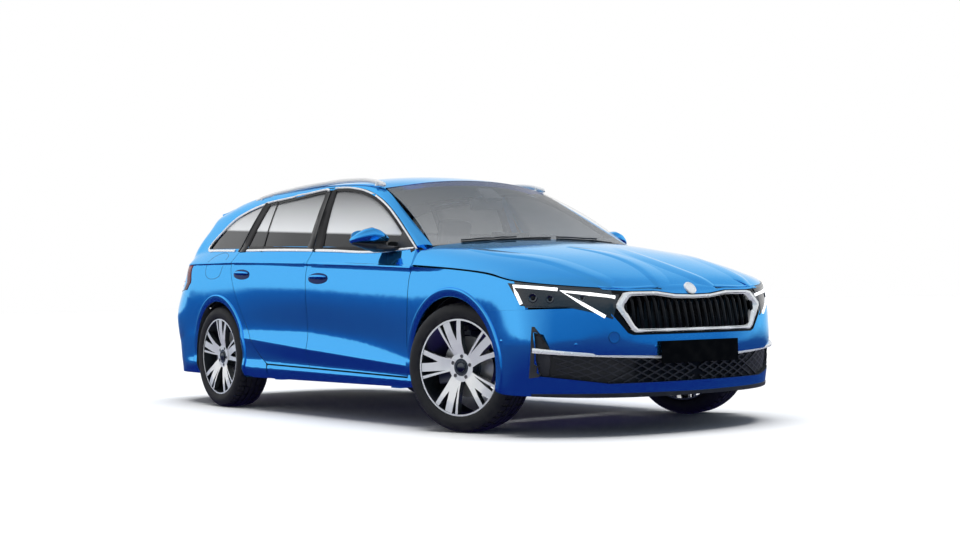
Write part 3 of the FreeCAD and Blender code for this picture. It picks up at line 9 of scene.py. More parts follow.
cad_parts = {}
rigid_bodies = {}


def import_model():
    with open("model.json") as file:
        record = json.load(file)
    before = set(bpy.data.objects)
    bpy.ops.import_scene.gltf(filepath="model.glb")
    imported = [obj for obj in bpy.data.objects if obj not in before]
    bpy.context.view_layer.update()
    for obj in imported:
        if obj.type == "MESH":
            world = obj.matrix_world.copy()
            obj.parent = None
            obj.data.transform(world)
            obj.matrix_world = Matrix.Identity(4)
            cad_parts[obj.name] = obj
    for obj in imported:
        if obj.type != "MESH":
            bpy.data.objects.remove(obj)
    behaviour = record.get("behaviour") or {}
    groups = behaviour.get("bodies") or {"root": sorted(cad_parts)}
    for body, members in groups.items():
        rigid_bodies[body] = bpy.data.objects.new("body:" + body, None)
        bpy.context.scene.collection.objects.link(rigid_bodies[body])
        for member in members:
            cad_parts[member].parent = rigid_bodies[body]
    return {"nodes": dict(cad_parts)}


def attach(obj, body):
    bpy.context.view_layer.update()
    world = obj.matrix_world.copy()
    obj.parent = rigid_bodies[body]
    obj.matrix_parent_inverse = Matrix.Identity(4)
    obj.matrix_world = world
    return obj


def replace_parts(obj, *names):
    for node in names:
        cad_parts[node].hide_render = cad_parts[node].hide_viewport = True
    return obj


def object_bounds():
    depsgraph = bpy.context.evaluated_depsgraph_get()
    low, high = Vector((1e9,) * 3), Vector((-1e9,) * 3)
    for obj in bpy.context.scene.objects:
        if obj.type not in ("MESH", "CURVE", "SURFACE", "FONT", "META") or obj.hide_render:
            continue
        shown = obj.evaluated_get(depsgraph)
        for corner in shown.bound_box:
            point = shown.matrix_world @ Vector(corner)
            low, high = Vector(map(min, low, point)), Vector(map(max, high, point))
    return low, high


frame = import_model()
cad_box = [list(corner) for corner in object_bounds()]

# The camera stands low at the car's front right corner, where the photograph was taken from.
# Its place, aim and lens come from matching wheels, axles and overall sizes to the picture.
camera_data = bpy.data.cameras.new("camera")
camera_data.lens = 54.31
camera = bpy.data.objects.new("camera", camera_data)
bpy.context.scene.collection.objects.link(camera)
camera_place = Vector((7.494, -5.0864, 0.6692))
turn, rise, roll = (math.radians(angle) for angle in (53.967, -1.189, -1.012))
back = Vector((math.sin(turn) * math.cos(rise), -math.cos(turn) * math.cos(rise), math.sin(rise)))
level = Vector((math.cos(turn), math.sin(turn), 0))
above = back.cross(level)
right = level * math.cos(roll) + above * math.sin(roll)
up = above * math.cos(roll) - level * math.sin(roll)
camera_aim = Matrix((right, up, back)).transposed().to_4x4()
camera.matrix_world = Matrix.Translation(camera_place) @ camera_aim
bpy.context.scene.camera = camera
picture_middle = (480, 270)
picture_reach = 1448.2

# The studio: a wide pale floor under a sky that the paint mirrors, bright above the horizon and
# dusky blue below it, with a dimmer part straight ahead of the car, and a large soft lamp over the
# roof. The camera itself sees plain white behind the car.
bpy.context.scene.view_settings.view_transform = "Standard"
sky = bpy.data.worlds.new("studio_sky")
bpy.context.scene.world = sky
sky.use_nodes = True


class Wire:
    """An output of a finish's node, which sums and products can be written on."""

    def __init__(self, finish, socket):
        self.finish, self.socket = finish, socket

    def sum_of(self, operation, first, second):
        return self.finish.node("Math", {"operation": operation}, {0: first, 1: second})

    def __add__(self, other):
        return self.sum_of("ADD", self, other)

    def __rsub__(self, other):
        return self.sum_of("SUBTRACT", other, self)

    def __mul__(self, other):
        return self.sum_of("MULTIPLY", self, other)

    def __gt__(self, other):
        return self.sum_of("GREATER_THAN", self, other)

    def __lt__(self, other):
        return self.sum_of("LESS_THAN", self, other)


class Finish:
    """The nodes of one finish, joined one by one on to its Principled shader."""

    def __init__(self, name, owner=None):
        self.owner = owner or bpy.data.materials.new(name)
        self.owner.use_nodes = True
        self.tree = self.owner.node_tree
        self.surface = self.tree.nodes.get("Principled BSDF")

    def feed(self, made, inputs):
        for key, value in inputs.items():
            if isinstance(value, Wire):
                self.tree.links.new(value.socket, made.inputs[key])
            else:
                made.inputs[key].default_value = value

    def node(self, kind, settings=None, inputs=None, out=0):
        made = self.tree.nodes.new("ShaderNode" + kind)
        for key, value in (settings or {}).items():
            if key == "stops":
                stops = made.color_ramp.elements
                while len(stops) < len(value):
                    stops.new(1.0)
                for stop, (place, colour) in zip(stops, value):
                    stop.position, stop.color = place, colour
            else:
                setattr(made, key, value)
        self.feed(made, inputs or {})
        return Wire(self, made.outputs[out])

    def place(self, out="Object"):
        return self.node("TexCoord", out=out)

    def axis(self, wire, letter):
        return self.node("SeparateXYZ", None, {0: wire}, letter)

    def noise(self, size, detail=3.0, rough=0.5):
        inputs = {"Vector": self.place(), "Scale": 1 / size, "Detail": detail, "Roughness": rough}
        return self.node("TexNoise", None, inputs)

    def blend(self, factor, first, second):
        return self.node("Mix", {"data_type": "RGBA"}, {0: factor, 6: first, 7: second}, 2)

    def range(self, wire, low, high, start=0.0, stop=1.0):
        inputs = {0: wire, 1: low, 2: high, 3: start, 4: stop}
        return self.node("MapRange", None, inputs)

    def relief(self, height, depth):
        return self.node("Bump", None, {"Height": height, "Distance": depth, "Strength": 1.0})

    def set(self, **sockets):
        named = {key.replace("_", " "): value for key, value in sockets.items()}
        self.feed(self.surface, named)
        return self.owner


heavens = Finish("studio_sky", sky)


def sky_way(letter, low, high):
    return heavens.range(heavens.axis(heavens.place("Generated"), letter), low, high)


ground_stops = ((0.0, (0.030, 0.016, 0.15, 1)), (0.40, (0.035, 0.030, 0.17, 1)),
                (0.472, (0.09, 0.11, 0.24, 1)))
front_stops = ground_stops + ((0.492, (0.98, 0.985, 0.99, 1)), (0.66, (1.0, 1.0, 1.0, 1)),
                              (0.84, (0.50, 0.60, 0.72, 1)), (1.0, (0.40, 0.44, 0.50, 1)))
side_stops = ground_stops + ((0.4985, (0.05, 0.20, 0.42, 1)), (0.5035, (0.98, 0.985, 0.99, 1)),
                             (0.86, (0.97, 0.98, 1.0, 1)), (1.0, (0.42, 0.46, 0.52, 1)))
ahead_stops = ground_stops + ((0.492, (0.07, 0.25, 0.44, 1)), (0.58, (0.12, 0.32, 0.52, 1)),
                              (0.70, (0.62, 0.74, 0.84, 1)), (1.0, (0.50, 0.56, 0.64, 1)))
sky_share = sky_way("Z", -1.0, 1.0)


def sky_side(stops):
    return heavens.node("ValToRGB", {"stops": stops}, {0: sky_share})


sky_far, sky_ahead = sky_way("Y", 0.15, 0.50), sky_way("X", 0.05, 0.60)
sky_colour = heavens.blend(sky_far, sky_side(side_stops), sky_side(front_stops))
sky_colour = heavens.blend(sky_ahead, sky_colour, sky_side(ahead_stops))
sky_soft = heavens.node("LightPath", out="Is Diffuse Ray")
sky_seen = heavens.node("LightPath", out="Is Camera Ray")
sky_colour = heavens.blend(sky_seen, sky_colour, (1.0, 1.0, 1.0, 1))
diffuse_cut = 0.68
heavens.feed(sky.node_tree.nodes["Background"],
             {"Color": sky_colour, "Strength": 1.0 - sky_soft * diffuse_cut})
lamp_data = bpy.data.lights.new("overhead", "SUN")
lamp_data.angle = math.radians(46)
lamp_data.energy = 3.2
overhead = bpy.data.objects.new("overhead", lamp_data)
overhead.visible_glossy = False
bpy.context.scene.collection.objects.link(overhead)


def put(bm, name, material, body=None, crease=35):
    # A finished mesh becomes a piece that rides on its body.
    mesh = bpy.data.meshes.new(name)
    bm.to_mesh(mesh)
    bm.free()
    mesh.shade_smooth()
    mesh.set_sharp_from_angle(angle=math.radians(crease))
    mesh.materials.append(material)
    piece = bpy.data.objects.new(name, mesh)
    bpy.context.scene.collection.objects.link(piece)
    if body:
        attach(piece, body)
    return piece


floor_finish = Finish("studio_floor")
floor_grain = floor_finish.noise(0.4)
floor_pale = floor_finish.set(
    Base_Color=floor_finish.blend(floor_grain, (0.90, 0.90, 0.90, 1), (0.93, 0.93, 0.93, 1)),
    Roughness=0.85, Specular_IOR_Level=0.2)
floor_reach = 150
floor_mesh = bmesh.new()
bmesh.ops.create_grid(floor_mesh, x_segments=8, y_segments=8, size=floor_reach)
floor = put(floor_mesh, "floor", floor_pale)
floor.visible_glossy = False


# The body panels: pressed steel under metallic blue lacquer, whose fine flakes sparkle a little.
# Inside faces are trim: pale cloth under the roof, dark moulded cards elsewhere.
cabin_pull, cabin_height = 0.7, 0.55


def dress(material, *names):
    for name in names:
        frame["nodes"][name].material_slots[0].material = material


def inside_mask(finish):
    # 1 on faces that look towards the middle of the cabin.
    place, normal = finish.place(), finish.place("Normal")
    core = finish.node("VectorMath", {"operation": "MULTIPLY"},
                       {0: place, 1: (cabin_pull, 0.0, 0.0)})
    core = finish.node("VectorMath", {"operation": "ADD"}, {0: core, 1: (0.0, 0.0, cabin_height)})
    outward = finish.node("VectorMath", {"operation": "SUBTRACT"}, {0: place, 1: core})
    outward = finish.node("VectorMath", {"operation": "NORMALIZE"}, {0: outward})
    facing = finish.node("VectorMath", {"operation": "DOT_PRODUCT"},
                         {0: normal, 1: outward}, "Value")
    return facing < -0.2


lacquer = Finish("metallic_blue")
flake, cloud = lacquer.noise(0.0011, 2.0), lacquer.noise(0.25, 2.0)
blue = lacquer.blend(flake, (0.060, 0.40, 0.88, 1), (0.085, 0.46, 0.95, 1))
hidden = inside_mask(lacquer)
shown = 1 - hidden
lining_height = 1.15
under_roof = (lacquer.axis(lacquer.place("Normal"), "Z") < -0.55) * (
    lacquer.axis(lacquer.place(), "Z") > lining_height)
lining = lacquer.blend(under_roof, (0.035, 0.036, 0.040, 1), (0.42, 0.41, 0.40, 1))
paint = lacquer.set(
    Base_Color=lacquer.blend(hidden, blue, lining), Metallic=shown * 0.97, Coat_Weight=shown * 0.30,
    Roughness=lacquer.range(flake, 0.3, 0.7, 0.065, 0.085) + hidden * 0.4, Coat_Roughness=0.03,
    Coat_IOR=1.35, Specular_IOR_Level=0.4, Specular_Tint=(0.46, 0.82, 1.0, 1),
    Normal=lacquer.relief(cloud, 0.0004))
dress(paint, "door_front_right", "door_front_left", "door_rear_right", "door_rear_left",
      "quarters", "rear_bumper", "tailgate", "fenders", "front_bumper", "bonnet", "roof",
      "roof_sides", "sills", "mirror_right", "mirror_left")


# Glass: tinted panes in the doors, quarters and tailgate, and a nearly clear windscreen. All panes
# carry a painted reflection of the studio by height: the side panes are dark low down, with a
# painted bright band along the car that fades upwards, and the screen is pale low down and darker
# towards its top.
glare_slope, glare_edge, glare_fade = 0.061, (1.078, 1.090), (1.10, 1.36)


def pane(name, painted_low_colour, painted_glare_colour, painted_top_colour, cover, glint):
    finish = Finish(name)
    smear = finish.noise(0.15, 2.0)
    # Painted reflection: the low colour below the edge, then a painted glare band fading to the top
    # colour, with the cover changing at the edge.
    height = finish.axis(finish.place(), "Z") + finish.axis(finish.place(), "X") * glare_slope
    upper = finish.blend(finish.range(height, *glare_fade), painted_glare_colour, painted_top_colour)
    colour = finish.blend(finish.range(height, *glare_edge), painted_low_colour, upper)
    return finish.set(
        Base_Color=colour, Roughness=finish.range(smear, 0.3, 0.8, 0.015, 0.05),
        Alpha=finish.range(height, *glare_edge, min(1.0, cover * 1.15), cover), IOR=1.45,
        Coat_Weight=glint, Specular_IOR_Level=glint)


tinted = pane("tinted_pane", (0.008, 0.009, 0.010, 1), (0.92, 0.93, 0.94, 1),
              (0.05, 0.052, 0.055, 1), 0.82, 0.25)
clear = pane("windscreen_pane", (0.62, 0.63, 0.64, 1), (0.56, 0.57, 0.58, 1),
             (0.26, 0.27, 0.28, 1), 0.24, 0.5)
dress(tinted, "glass_front_right", "glass_front_left", "glass_rear_right", "glass_rear_left",
      "quarter_glass", "rear_glass")
dress(clear, "windscreen")


# Moulded plastics: satin black outside, a fine leather grain in the cabin, and smooth piano black
# on the grille. They are clipped in, and dust lies a little paler on them.
def moulded(name, colour, rough, grain=0.0012, depth=0.00012, coat=0.0, glint=0.5):
    finish = Finish(name)
    pebble = finish.node("TexVoronoi", {"feature": "SMOOTH_F1"},
                         {"Vector": finish.place(), "Scale": 1 / grain}, "Distance")
    dust = finish.noise(0.06)
    worn = finish.blend(finish.range(dust, 0.45, 0.8), colour,
                        tuple(min(1.0, c * 1.5 + 0.004) for c in colour[:3]) + (1,))
    return finish.set(
        Base_Color=worn, Roughness=finish.range(dust, 0.3, 0.7, rough - 0.05, rough + 0.06),
        Normal=finish.relief(pebble, depth), Coat_Weight=coat, Coat_Roughness=0.04,
        Specular_IOR_Level=glint)


black_plastic = moulded("satin_black_plastic", (0.014, 0.014, 0.015, 1), 0.48)
gloss_black = moulded("piano_black", (0.004, 0.004, 0.005, 1), 0.16, 0.004, 0.00001, 0.0, 0.14)
cabin_plastic = moulded("cabin_plastic", (0.055, 0.056, 0.060, 1), 0.62, 0.0016, 0.0002)
plate_black = moulded("blank_plate", (0.001, 0.001, 0.001, 1), 0.45, 0.003, 0.00001, 0.0, 0.05)
dress(black_plastic, "arch_liners", "floor_pan")
dress(gloss_black, "grille")
dress(cabin_plastic, "dashboard", "steering_wheel")
dress(plate_black, "number_plate")


# The panel behind the lower opening: moulded plastic, closed at its ends, where the lattice is only
# raised on it, and painted near black in its middle as the shade of the open intake.
intake = Finish("intake_panel")
intake_off = intake.node("Math", {"operation": "ABSOLUTE"}, {0: intake.axis(intake.place(), "Y")})
intake_shut = intake.range(intake_off, 0.36, 0.40)
dress(intake.set(
    # Painted shade: the middle is near black for the dark behind the opening; the closed ends are
    # the plastic's own dark grey.
    Base_Color=intake.blend(intake_shut, (0.0012, 0.0012, 0.0012, 1), (0.020, 0.020, 0.021, 1)),
    Roughness=intake.range(intake.noise(0.02), 0.3, 0.7, 0.5, 0.7), Specular_IOR_Level=0.25,
    Normal=intake.relief(intake.noise(0.002), 0.00008)), "lower_grille")


# Metals: bright trim, satin rails, sand-cast axle parts and engine, bare pressed steel below, and
# the dark bowls of the headlamps.
def metal(name, colour, rough, streak=0.02, depth=0.00005, shine=1.0):
    finish = Finish(name)
    grain = finish.noise(streak, 4.0)
    return finish.set(
        Base_Color=finish.blend(grain, colour, tuple(c * 0.8 for c in colour[:3]) + (1,)),
        Metallic=shine, Roughness=finish.range(grain, 0.3, 0.7, rough * 0.85, rough * 1.2),
        Normal=finish.relief(grain, depth))


chrome = metal("bright_chrome", (0.99, 0.99, 0.99, 1), 0.24, 0.02, 0.00001, 0.35)
rail_silver = metal("satin_rail", (0.86, 0.86, 0.86, 1), 0.36, 0.01, 0.00005, 0.30)
castings = metal("cast_metal", (0.22, 0.22, 0.23, 1), 0.55, 0.004, 0.0003)
steel = metal("bare_steel", (0.30, 0.29, 0.28, 1), 0.42, 0.01, 0.0001)
lamp_body = metal("lamp_bowl", (0.10, 0.11, 0.12, 1), 0.18, 0.03)
dress(rail_silver, "roof_rails")
dress(castings, "engine_block", "knuckle_left", "knuckle_right", "rear_axle")
dress(steel, "front_subframe", "exhaust")
dress(lamp_body, "headlamps")

# The tail lamps: moulded red lenses with fine ribs across them, darker towards their foot. One part
# is fixed to the body and the other rides on the tailgate.
red = Finish("red_lens")
red_rib = red.node("TexWave", {"wave_type": "BANDS", "bands_direction": "Z"},
                   {"Vector": red.place(), "Scale": 60.0, "Distortion": 0.0})
red_glow = red.range(red.axis(red.place(), "Z"), 0.80, 0.94)
red_lens = red.set(
    Base_Color=red.blend(red_glow, (0.060, 0.004, 0.006, 1), (0.20, 0.006, 0.008, 1)),
    Roughness=red.range(red.noise(0.02), 0.3, 0.7, 0.10, 0.18), Specular_IOR_Level=0.25,
    Normal=red.relief(red_rib, 0.0004))
dress(red_lens, "tail_lamps", "lid_lamps")


# The wheels: cast alloy, painted dark grey and then turned bright on the outer faces of their
# spokes, with the bare iron brake disc behind. The front pair stands steered to the left.
hub_radius, disc_radius = 0.088, 0.158
spoke_depth, disc_depth = 0.030, 0.020


def wheel_finish(name, axis, centre):
    finish = Finish(name)
    facing = finish.node("VectorMath", {"operation": "DOT_PRODUCT"},
                         {0: finish.place("Normal"), 1: axis}, "Value")
    offset = finish.node("VectorMath", {"operation": "SUBTRACT"}, {0: finish.place(), 1: centre})
    depth = finish.node("VectorMath", {"operation": "DOT_PRODUCT"}, {0: offset, 1: axis}, "Value")
    radius = finish.node("VectorMath", {"operation": "LENGTH"}, {0: offset}, "Value")
    turned = (facing > 0.93) * (depth > spoke_depth) * (radius > hub_radius)
    disc = (depth < disc_depth) * (radius < disc_radius) * (facing > 0.9)
    rings = finish.node("TexWave", {"wave_type": "RINGS", "rings_direction": "SPHERICAL"},
                        {"Vector": offset, "Scale": 160.0, "Distortion": 0.0})
    dark = finish.blend(finish.noise(0.03), (0.040, 0.046, 0.050, 1), (0.060, 0.068, 0.072, 1))
    bright = finish.blend(rings, (0.84, 0.84, 0.84, 1), (0.94, 0.94, 0.94, 1))
    dark = finish.blend(disc, dark, (0.42, 0.42, 0.42, 1))
    return finish.set(
        Base_Color=finish.blend(turned, dark, bright), Metallic=turned * -0.25 + 0.55,
        Roughness=turned * -0.08 + finish.range(radius, 0.1, 0.25, 0.34, 0.30),
        Coat_Weight=1.0, Normal=finish.relief(rings * turned, 0.00002))


steer = math.radians(18)
front_axle, rear_axle, half_track, wheel_radius = 1.4655, -1.2205, 0.775, 0.33
wheel_centres = {"front_right": (front_axle, -half_track, wheel_radius),
                 "front_left": (front_axle, half_track, wheel_radius),
                 "rear_right": (rear_axle, -half_track, wheel_radius),
                 "rear_left": (rear_axle, half_track, wheel_radius)}
wheel_axes = {}
for corner, centre in wheel_centres.items():
    side = -1 if corner.endswith("right") else 1
    angle = steer if corner.startswith("front") else 0.0
    wheel_axes[corner] = Vector((-math.sin(angle) * side, math.cos(angle) * side, 0.0))
    dress(wheel_finish("turned_alloy_" + corner, wheel_axes[corner], centre), "wheel_" + corner)

# The tyres: black rubber, dull and with a little road dust on it. They are pressed on to the rims
# and turn with the wheels.
rubber = Finish("tyre_rubber")
rubber_dust = rubber.noise(0.03, 4.0)
tyre_black = rubber.set(
    Base_Color=rubber.blend(rubber.range(rubber_dust, 0.35, 0.75), (0.010, 0.010, 0.011, 1),
                            (0.022, 0.022, 0.023, 1)),
    Roughness=rubber.range(rubber_dust, 0.3, 0.7, 0.55, 0.72), Specular_IOR_Level=0.35,
    Normal=rubber.relief(rubber.noise(0.0015), 0.0001))
dress(tyre_black, "tyre_front_right", "tyre_front_left", "tyre_rear_right", "tyre_rear_left")


# Trim pieces are drawn where the photograph shows them, on the panels that carry them, and the
# other side of the car gets the same pieces mirrored.
def ground(*names):
    points, faces = [], []
    for name in names:
        mesh = frame["nodes"][name].data
        start = len(points)
        points += [vertex.co for vertex in mesh.vertices]
        faces += [[start + corner for corner in face.vertices] for face in mesh.polygons]
    return BVHTree.FromPolygons(points, faces)


def seen(spots, panels):
    # Places on the panels behind spots of the picture; a spot off them keeps the last depth.
    line, depth = [], 6.5
    for across, down in spots:
        ray = (right * (across - picture_middle[0]) - up * (down - picture_middle[1])
               - back * picture_reach).normalized()
        distance = panels.ray_cast(camera_place, ray)[3]
        if distance is not None:
            depth = distance
        line.append(camera_place + ray * depth)
    return line


def seated(spot, panels):
    # The place on the panels behind one spot of the picture, and the way they face there.
    return panels.find_nearest(seen([spot], panels)[0])[:2]


def cast(spots, panels, start, into):
    # Places on the panels under points that are carried along one direction.
    line, depth = [], None
    for spot in spots:
        origin = Vector(spot) + start
        distance = panels.ray_cast(origin, into)[3]
        if distance is None:
            near = panels.find_nearest(origin + into * (depth or start.length * 0.4))[0]
            distance = (near - origin).dot(into)
        depth = distance
        line.append(origin + into * depth)
    return line


def drawn(points, closed=False, steps=8, sharp=()):
    # A smooth line through points, as Blender's own curve gives it.
    curve = bpy.data.curves.new("drawn", "CURVE")
    curve.dimensions, curve.resolution_u = "3D", steps
    spline = curve.splines.new("BEZIER")
    spline.bezier_points.add(len(points) - 1)
    spline.use_cyclic_u = closed
    for number, (knot, point) in enumerate(zip(spline.bezier_points, points)):
        knot.co = point
        knot.handle_left_type = knot.handle_right_type = "VECTOR" if number in sharp else "AUTO"
    holder = bpy.data.objects.new("drawn", curve)
    mesh = bpy.data.meshes.new_from_object(holder)
    line = [vertex.co.copy() for vertex in mesh.vertices]
    bpy.data.objects.remove(holder)
    bpy.data.meshes.remove(mesh)
    return line


def loft(rows, closed=False, tube=False):
    # A skin over rows of points; closed joins each row's ends, tube joins the first and last row.
    bm = bmesh.new()
    wide, tall = len(rows[0]) - (0 if closed else 1), len(rows) - (0 if tube else 1)
    bmesh.ops.create_grid(bm, x_segments=wide, y_segments=tall, size=1.0)
    for vertex in bm.verts:
        column = round((vertex.co.x + 1) / 2 * wide) % len(rows[0])
        row = round((vertex.co.y + 1) / 2 * tall) % len(rows)
        vertex.co = rows[row][column]
    bmesh.ops.remove_doubles(bm, verts=bm.verts, dist=0.00001)
    if tube and not closed:
        bmesh.ops.holes_fill(bm, edges=bm.edges, sides=len(rows))
    bmesh.ops.recalc_face_normals(bm, faces=bm.faces)
    return bm


def moulding(points, profile, panels, closed=False, swell=None):
    # A strip with one section all along, pressed on to the panels under its points.
    rows = [[] for spot in profile]
    count = len(points)
    for number, point in enumerate(points):
        hit, normal = panels.find_nearest(point)[:2]
        if normal.dot(hit - Vector((hit.x * cabin_pull, 0, cabin_height))) < 0:
            normal = -normal
        after = points[(number + 1) % count if closed else min(number + 1, count - 1)]
        before = points[number - 1 if closed else max(number - 1, 0)]
        run = (after - before).normalized()
        across = normal.cross(run).normalized()
        size = swell(number / (count - 1)) if swell else 1.0
        for row, (offset, lift) in zip(rows, profile):
            foot = hit + across * (offset * size)
            near = panels.find_nearest(foot)[0]
            if (near - foot).length < abs(offset) * size + 0.012:
                foot = near
            row.append(foot + normal * (lift * size if lift > 0 else lift))
    return loft(rows, closed, True)


def flat_section(foot, top, rise, sink=0.002):
    # A strip that is flat on top and sinks a little into the panel at its foot.
    return (-foot, -sink), (-top, rise), (top, rise), (foot, -sink)


def round_section(half, shoulder, top, rise, sink=0.002):
    # A strip with chamfered shoulders.
    return ((-half, -sink), (-half, shoulder), (-top, rise), (top, rise), (half, shoulder),
            (half, -sink))


def cover(points, thickness, panels):
    # A flat plate with rounded edges, laid on the panels inside its outline.
    bm = bmesh.new()
    corners = [bm.verts.new(panels.find_nearest(point)[0]) for point in points]
    face = bm.faces.new(corners)
    bm.normal_update()
    if face.normal.y > 0:
        face.normal_flip()
    bm.normal_update()
    normal = face.normal.copy()
    bmesh.ops.translate(bm, verts=bm.verts, vec=normal * -0.002)
    raised = bmesh.ops.extrude_face_region(bm, geom=[face])["geom"]
    top = [item for item in raised if isinstance(item, bmesh.types.BMVert)]
    bmesh.ops.translate(bm, verts=top, vec=normal * (thickness + 0.002))
    rim = [edge for edge in bm.edges if all(vertex in top for vertex in edge.verts)]
    bmesh.ops.bevel(bm, geom=rim, offset=thickness / 2, segments=2, profile=0.5,
                    affect="EDGES", material=-1)
    bmesh.ops.recalc_face_normals(bm, faces=bm.faces)
    return bm


def pair(bm, name, material, body, crease=35):
    # The right-hand piece, and its mirrored twin on the left.
    other = bm.copy()
    bmesh.ops.scale(other, vec=(1, -1, 1), verts=other.verts)
    bmesh.ops.reverse_faces(other, faces=other.faces)
    put(bm, name + "_right", material, body, crease)
    put(other, name + "_left", material, body.replace("right", "left"), crease)


def merged(parts):
    # Several meshes as one.
    whole = bmesh.new()
    for bm in parts:
        mesh = bpy.data.meshes.new("part")
        bm.to_mesh(mesh)
        bm.free()
        whole.from_mesh(mesh)
        bpy.data.meshes.remove(mesh)
    return whole


# The side windows: a bright rolled line all round them over a black rubber edge, and piano-black
# covers on the pillars between the panes. Each length rides on its own door or on the body.
side_panels = {"front_right_door": ground("door_front_right"),
               "rear_right_door": ground("door_rear_right"),
               "body": ground("quarters", "roof_sides")}
from_right = Vector((0, -1.3, 0))
inward = Vector((0, 1, 0))
window_top = ((0.985, 0.957), (0.714, 1.128), (0.442, 1.265), (0.267, 1.322), (0.109, 1.352),
              (-0.036, 1.365), (-0.180, 1.364), (-0.391, 1.353), (-0.620, 1.340), (-0.872, 1.329),
              (-0.955, 1.322), (-1.179, 1.285), (-1.350, 1.235), (-1.490, 1.150), (-1.590, 1.085),
              (-1.612, 1.055))
window_belt = ((-1.5755, 1.034), (-1.477, 1.031), (-1.015, 1.013), (-0.469, 0.996),
               (-0.041, 0.978), (0.141, 0.969), (0.586, 0.945), (0.961, 0.954))
bright_section = round_section(0.0085, 0.003, 0.004, 0.0062)
edge_section = flat_section(0.012, 0.012, 0.002)
bright_inset, tip_inset, edge_inset = 0.003, 0.004, 0.021
rear_top_proud = 0.005
shut_gap = 0.003


def shifted(spots, inset):
    # The outline moved towards the middle of the windows.
    moved = []
    for number, (x, z) in enumerate(spots):
        ahead, behind = spots[min(number + 1, len(spots) - 1)], spots[max(number - 1, 0)]
        run = Vector((ahead[0] - behind[0], ahead[1] - behind[1])).normalized()
        moved.append((x - run.y * inset, z + run.x * inset))
    return moved


def side_line(spots, body, low, high):
    # The part of an outline between two split lines, on one body's panels.
    smooth = [(p.x, p.z) for p in drawn([Vector((x, 0, z)) for x, z in spots], steps=6)]
    chosen = [(x, 0, z) for x, z in smooth if low(z) < x < high(z)]
    return cast(chosen, side_panels[body], from_right, inward)


def middle_split(z):
    return -0.041 - 0.2503 * (z - 0.997)


def rear_split(z):
    return -1.015 + 0.2333 * (z - 1.014)


spans = {"front_right_door": (lambda z: middle_split(z) + shut_gap, lambda z: 2.0),
         "rear_right_door": (lambda z: rear_split(z) + shut_gap,
                             lambda z: middle_split(z) - shut_gap),
         "body": (lambda z: -3.0, lambda z: rear_split(z) - shut_gap)}
for body, (low, high) in spans.items():
    panels = side_panels[body]
    bright, edge = [], []
    for outline in (window_top, window_belt):
        proud = rear_top_proud if body == "rear_right_door" and outline is window_top else 0.0
        line = side_line(shifted(outline, bright_inset), body, low, high)
        bright.append(moulding(line, [(across, lift + proud) for across, lift in bright_section],
                               panels))
        line = side_line(shifted(outline, edge_inset), body, low, high)
        edge.append(moulding(line, edge_section, panels))
    if body == "body":
        tip = side_line(shifted(window_top[-2:] + window_belt[:2], tip_inset), body, low, high)
        bright.append(moulding(tip, bright_section, panels))
    carrier = body.split("_")[0]
    pair(merged(bright), "window_line_" + carrier, chrome, body)
    pair(merged(edge), "window_edge_" + carrier, gloss_black, body)


def pillar(body, name, bottom, top, near_glass):
    # A black cover between two leaning edges; each end gives its front and rear place and height.
    rows, steps, proud = [], 8, 0.005
    for share in (0.0, 0.04, 0.5, 0.96, 1.0):
        spots = []
        for step in range(steps + 1):
            rise = step / steps
            front = bottom[0] + (top[0] - bottom[0]) * rise
            rear = bottom[1] + (top[1] - bottom[1]) * rise
            height = bottom[2] + (top[2] - bottom[2]) * rise
            spots.append((front + (rear - front) * share, 0, height))
        lift = proud - 0.002 if share in (0.0, 1.0) else proud
        rows.append([spot - inward * lift for spot in cast(spots, near_glass, from_right, inward)])
    bm = loft(rows)
    bmesh.ops.solidify(bm, geom=bm.faces, thickness=0.004)
    bmesh.ops.recalc_face_normals(bm, faces=bm.faces)
    pair(bm, name, gloss_black, body)


front_side = ground("door_front_right", "glass_front_right")
rear_side = ground("door_rear_right", "glass_rear_right")
quarter_side = ground("quarters", "quarter_glass")
for body, name, bottom, top, panels in (
        ("front_right_door", "pillar_cover_front",
         (0.066, -0.0330, 0.975), (-0.075, -0.1270, 1.350), front_side),
        ("rear_right_door", "pillar_cover_middle",
         (-0.0400, -0.118, 0.982), (-0.1320, -0.194, 1.348), rear_side),
        # The body's pillar_shade is painted shade: a black strip on the pillar behind the gap
        # between the covers.
        ("body", "pillar_shade",
         (-0.010, -0.060, 0.985), (-0.105, -0.155, 1.345), ground("roof_sides")),
        ("rear_right_door", "pillar_cover_rear",
         (-0.926, -1.010, 1.008), (-0.859, -0.938, 1.324), rear_side),
        ("rear_right_door", "window_divider",
         (-0.684, -0.698, 1.000), (-0.772, -0.786, 1.335), rear_side),
        ("body", "pillar_cover_quarter",
         (-1.020, -1.045, 1.014), (-0.946, -0.970, 1.318), quarter_side)):
    pillar(body, name, bottom, top, panels)
mirror_foot = [(0.975, 0, 0.958), (0.800, 0, 0.960), (0.800, 0, 1.062)]
mirror_foot = cast(mirror_foot, side_panels["front_right_door"], from_right, inward)
pair(cover(mirror_foot, 0.005, side_panels["front_right_door"]), "mirror_foot_cover",
     black_plastic, "front_right_door")


# The door handles: a painted moulded grip, screwed on through the door skin over a cup pressed into
# it, whose paint is darkened as painted shade under the grip.
def bulge(share):
    return math.sqrt(max(0.0, 1 - (2 * share - 1) ** 2)) * 0.92 + 0.08
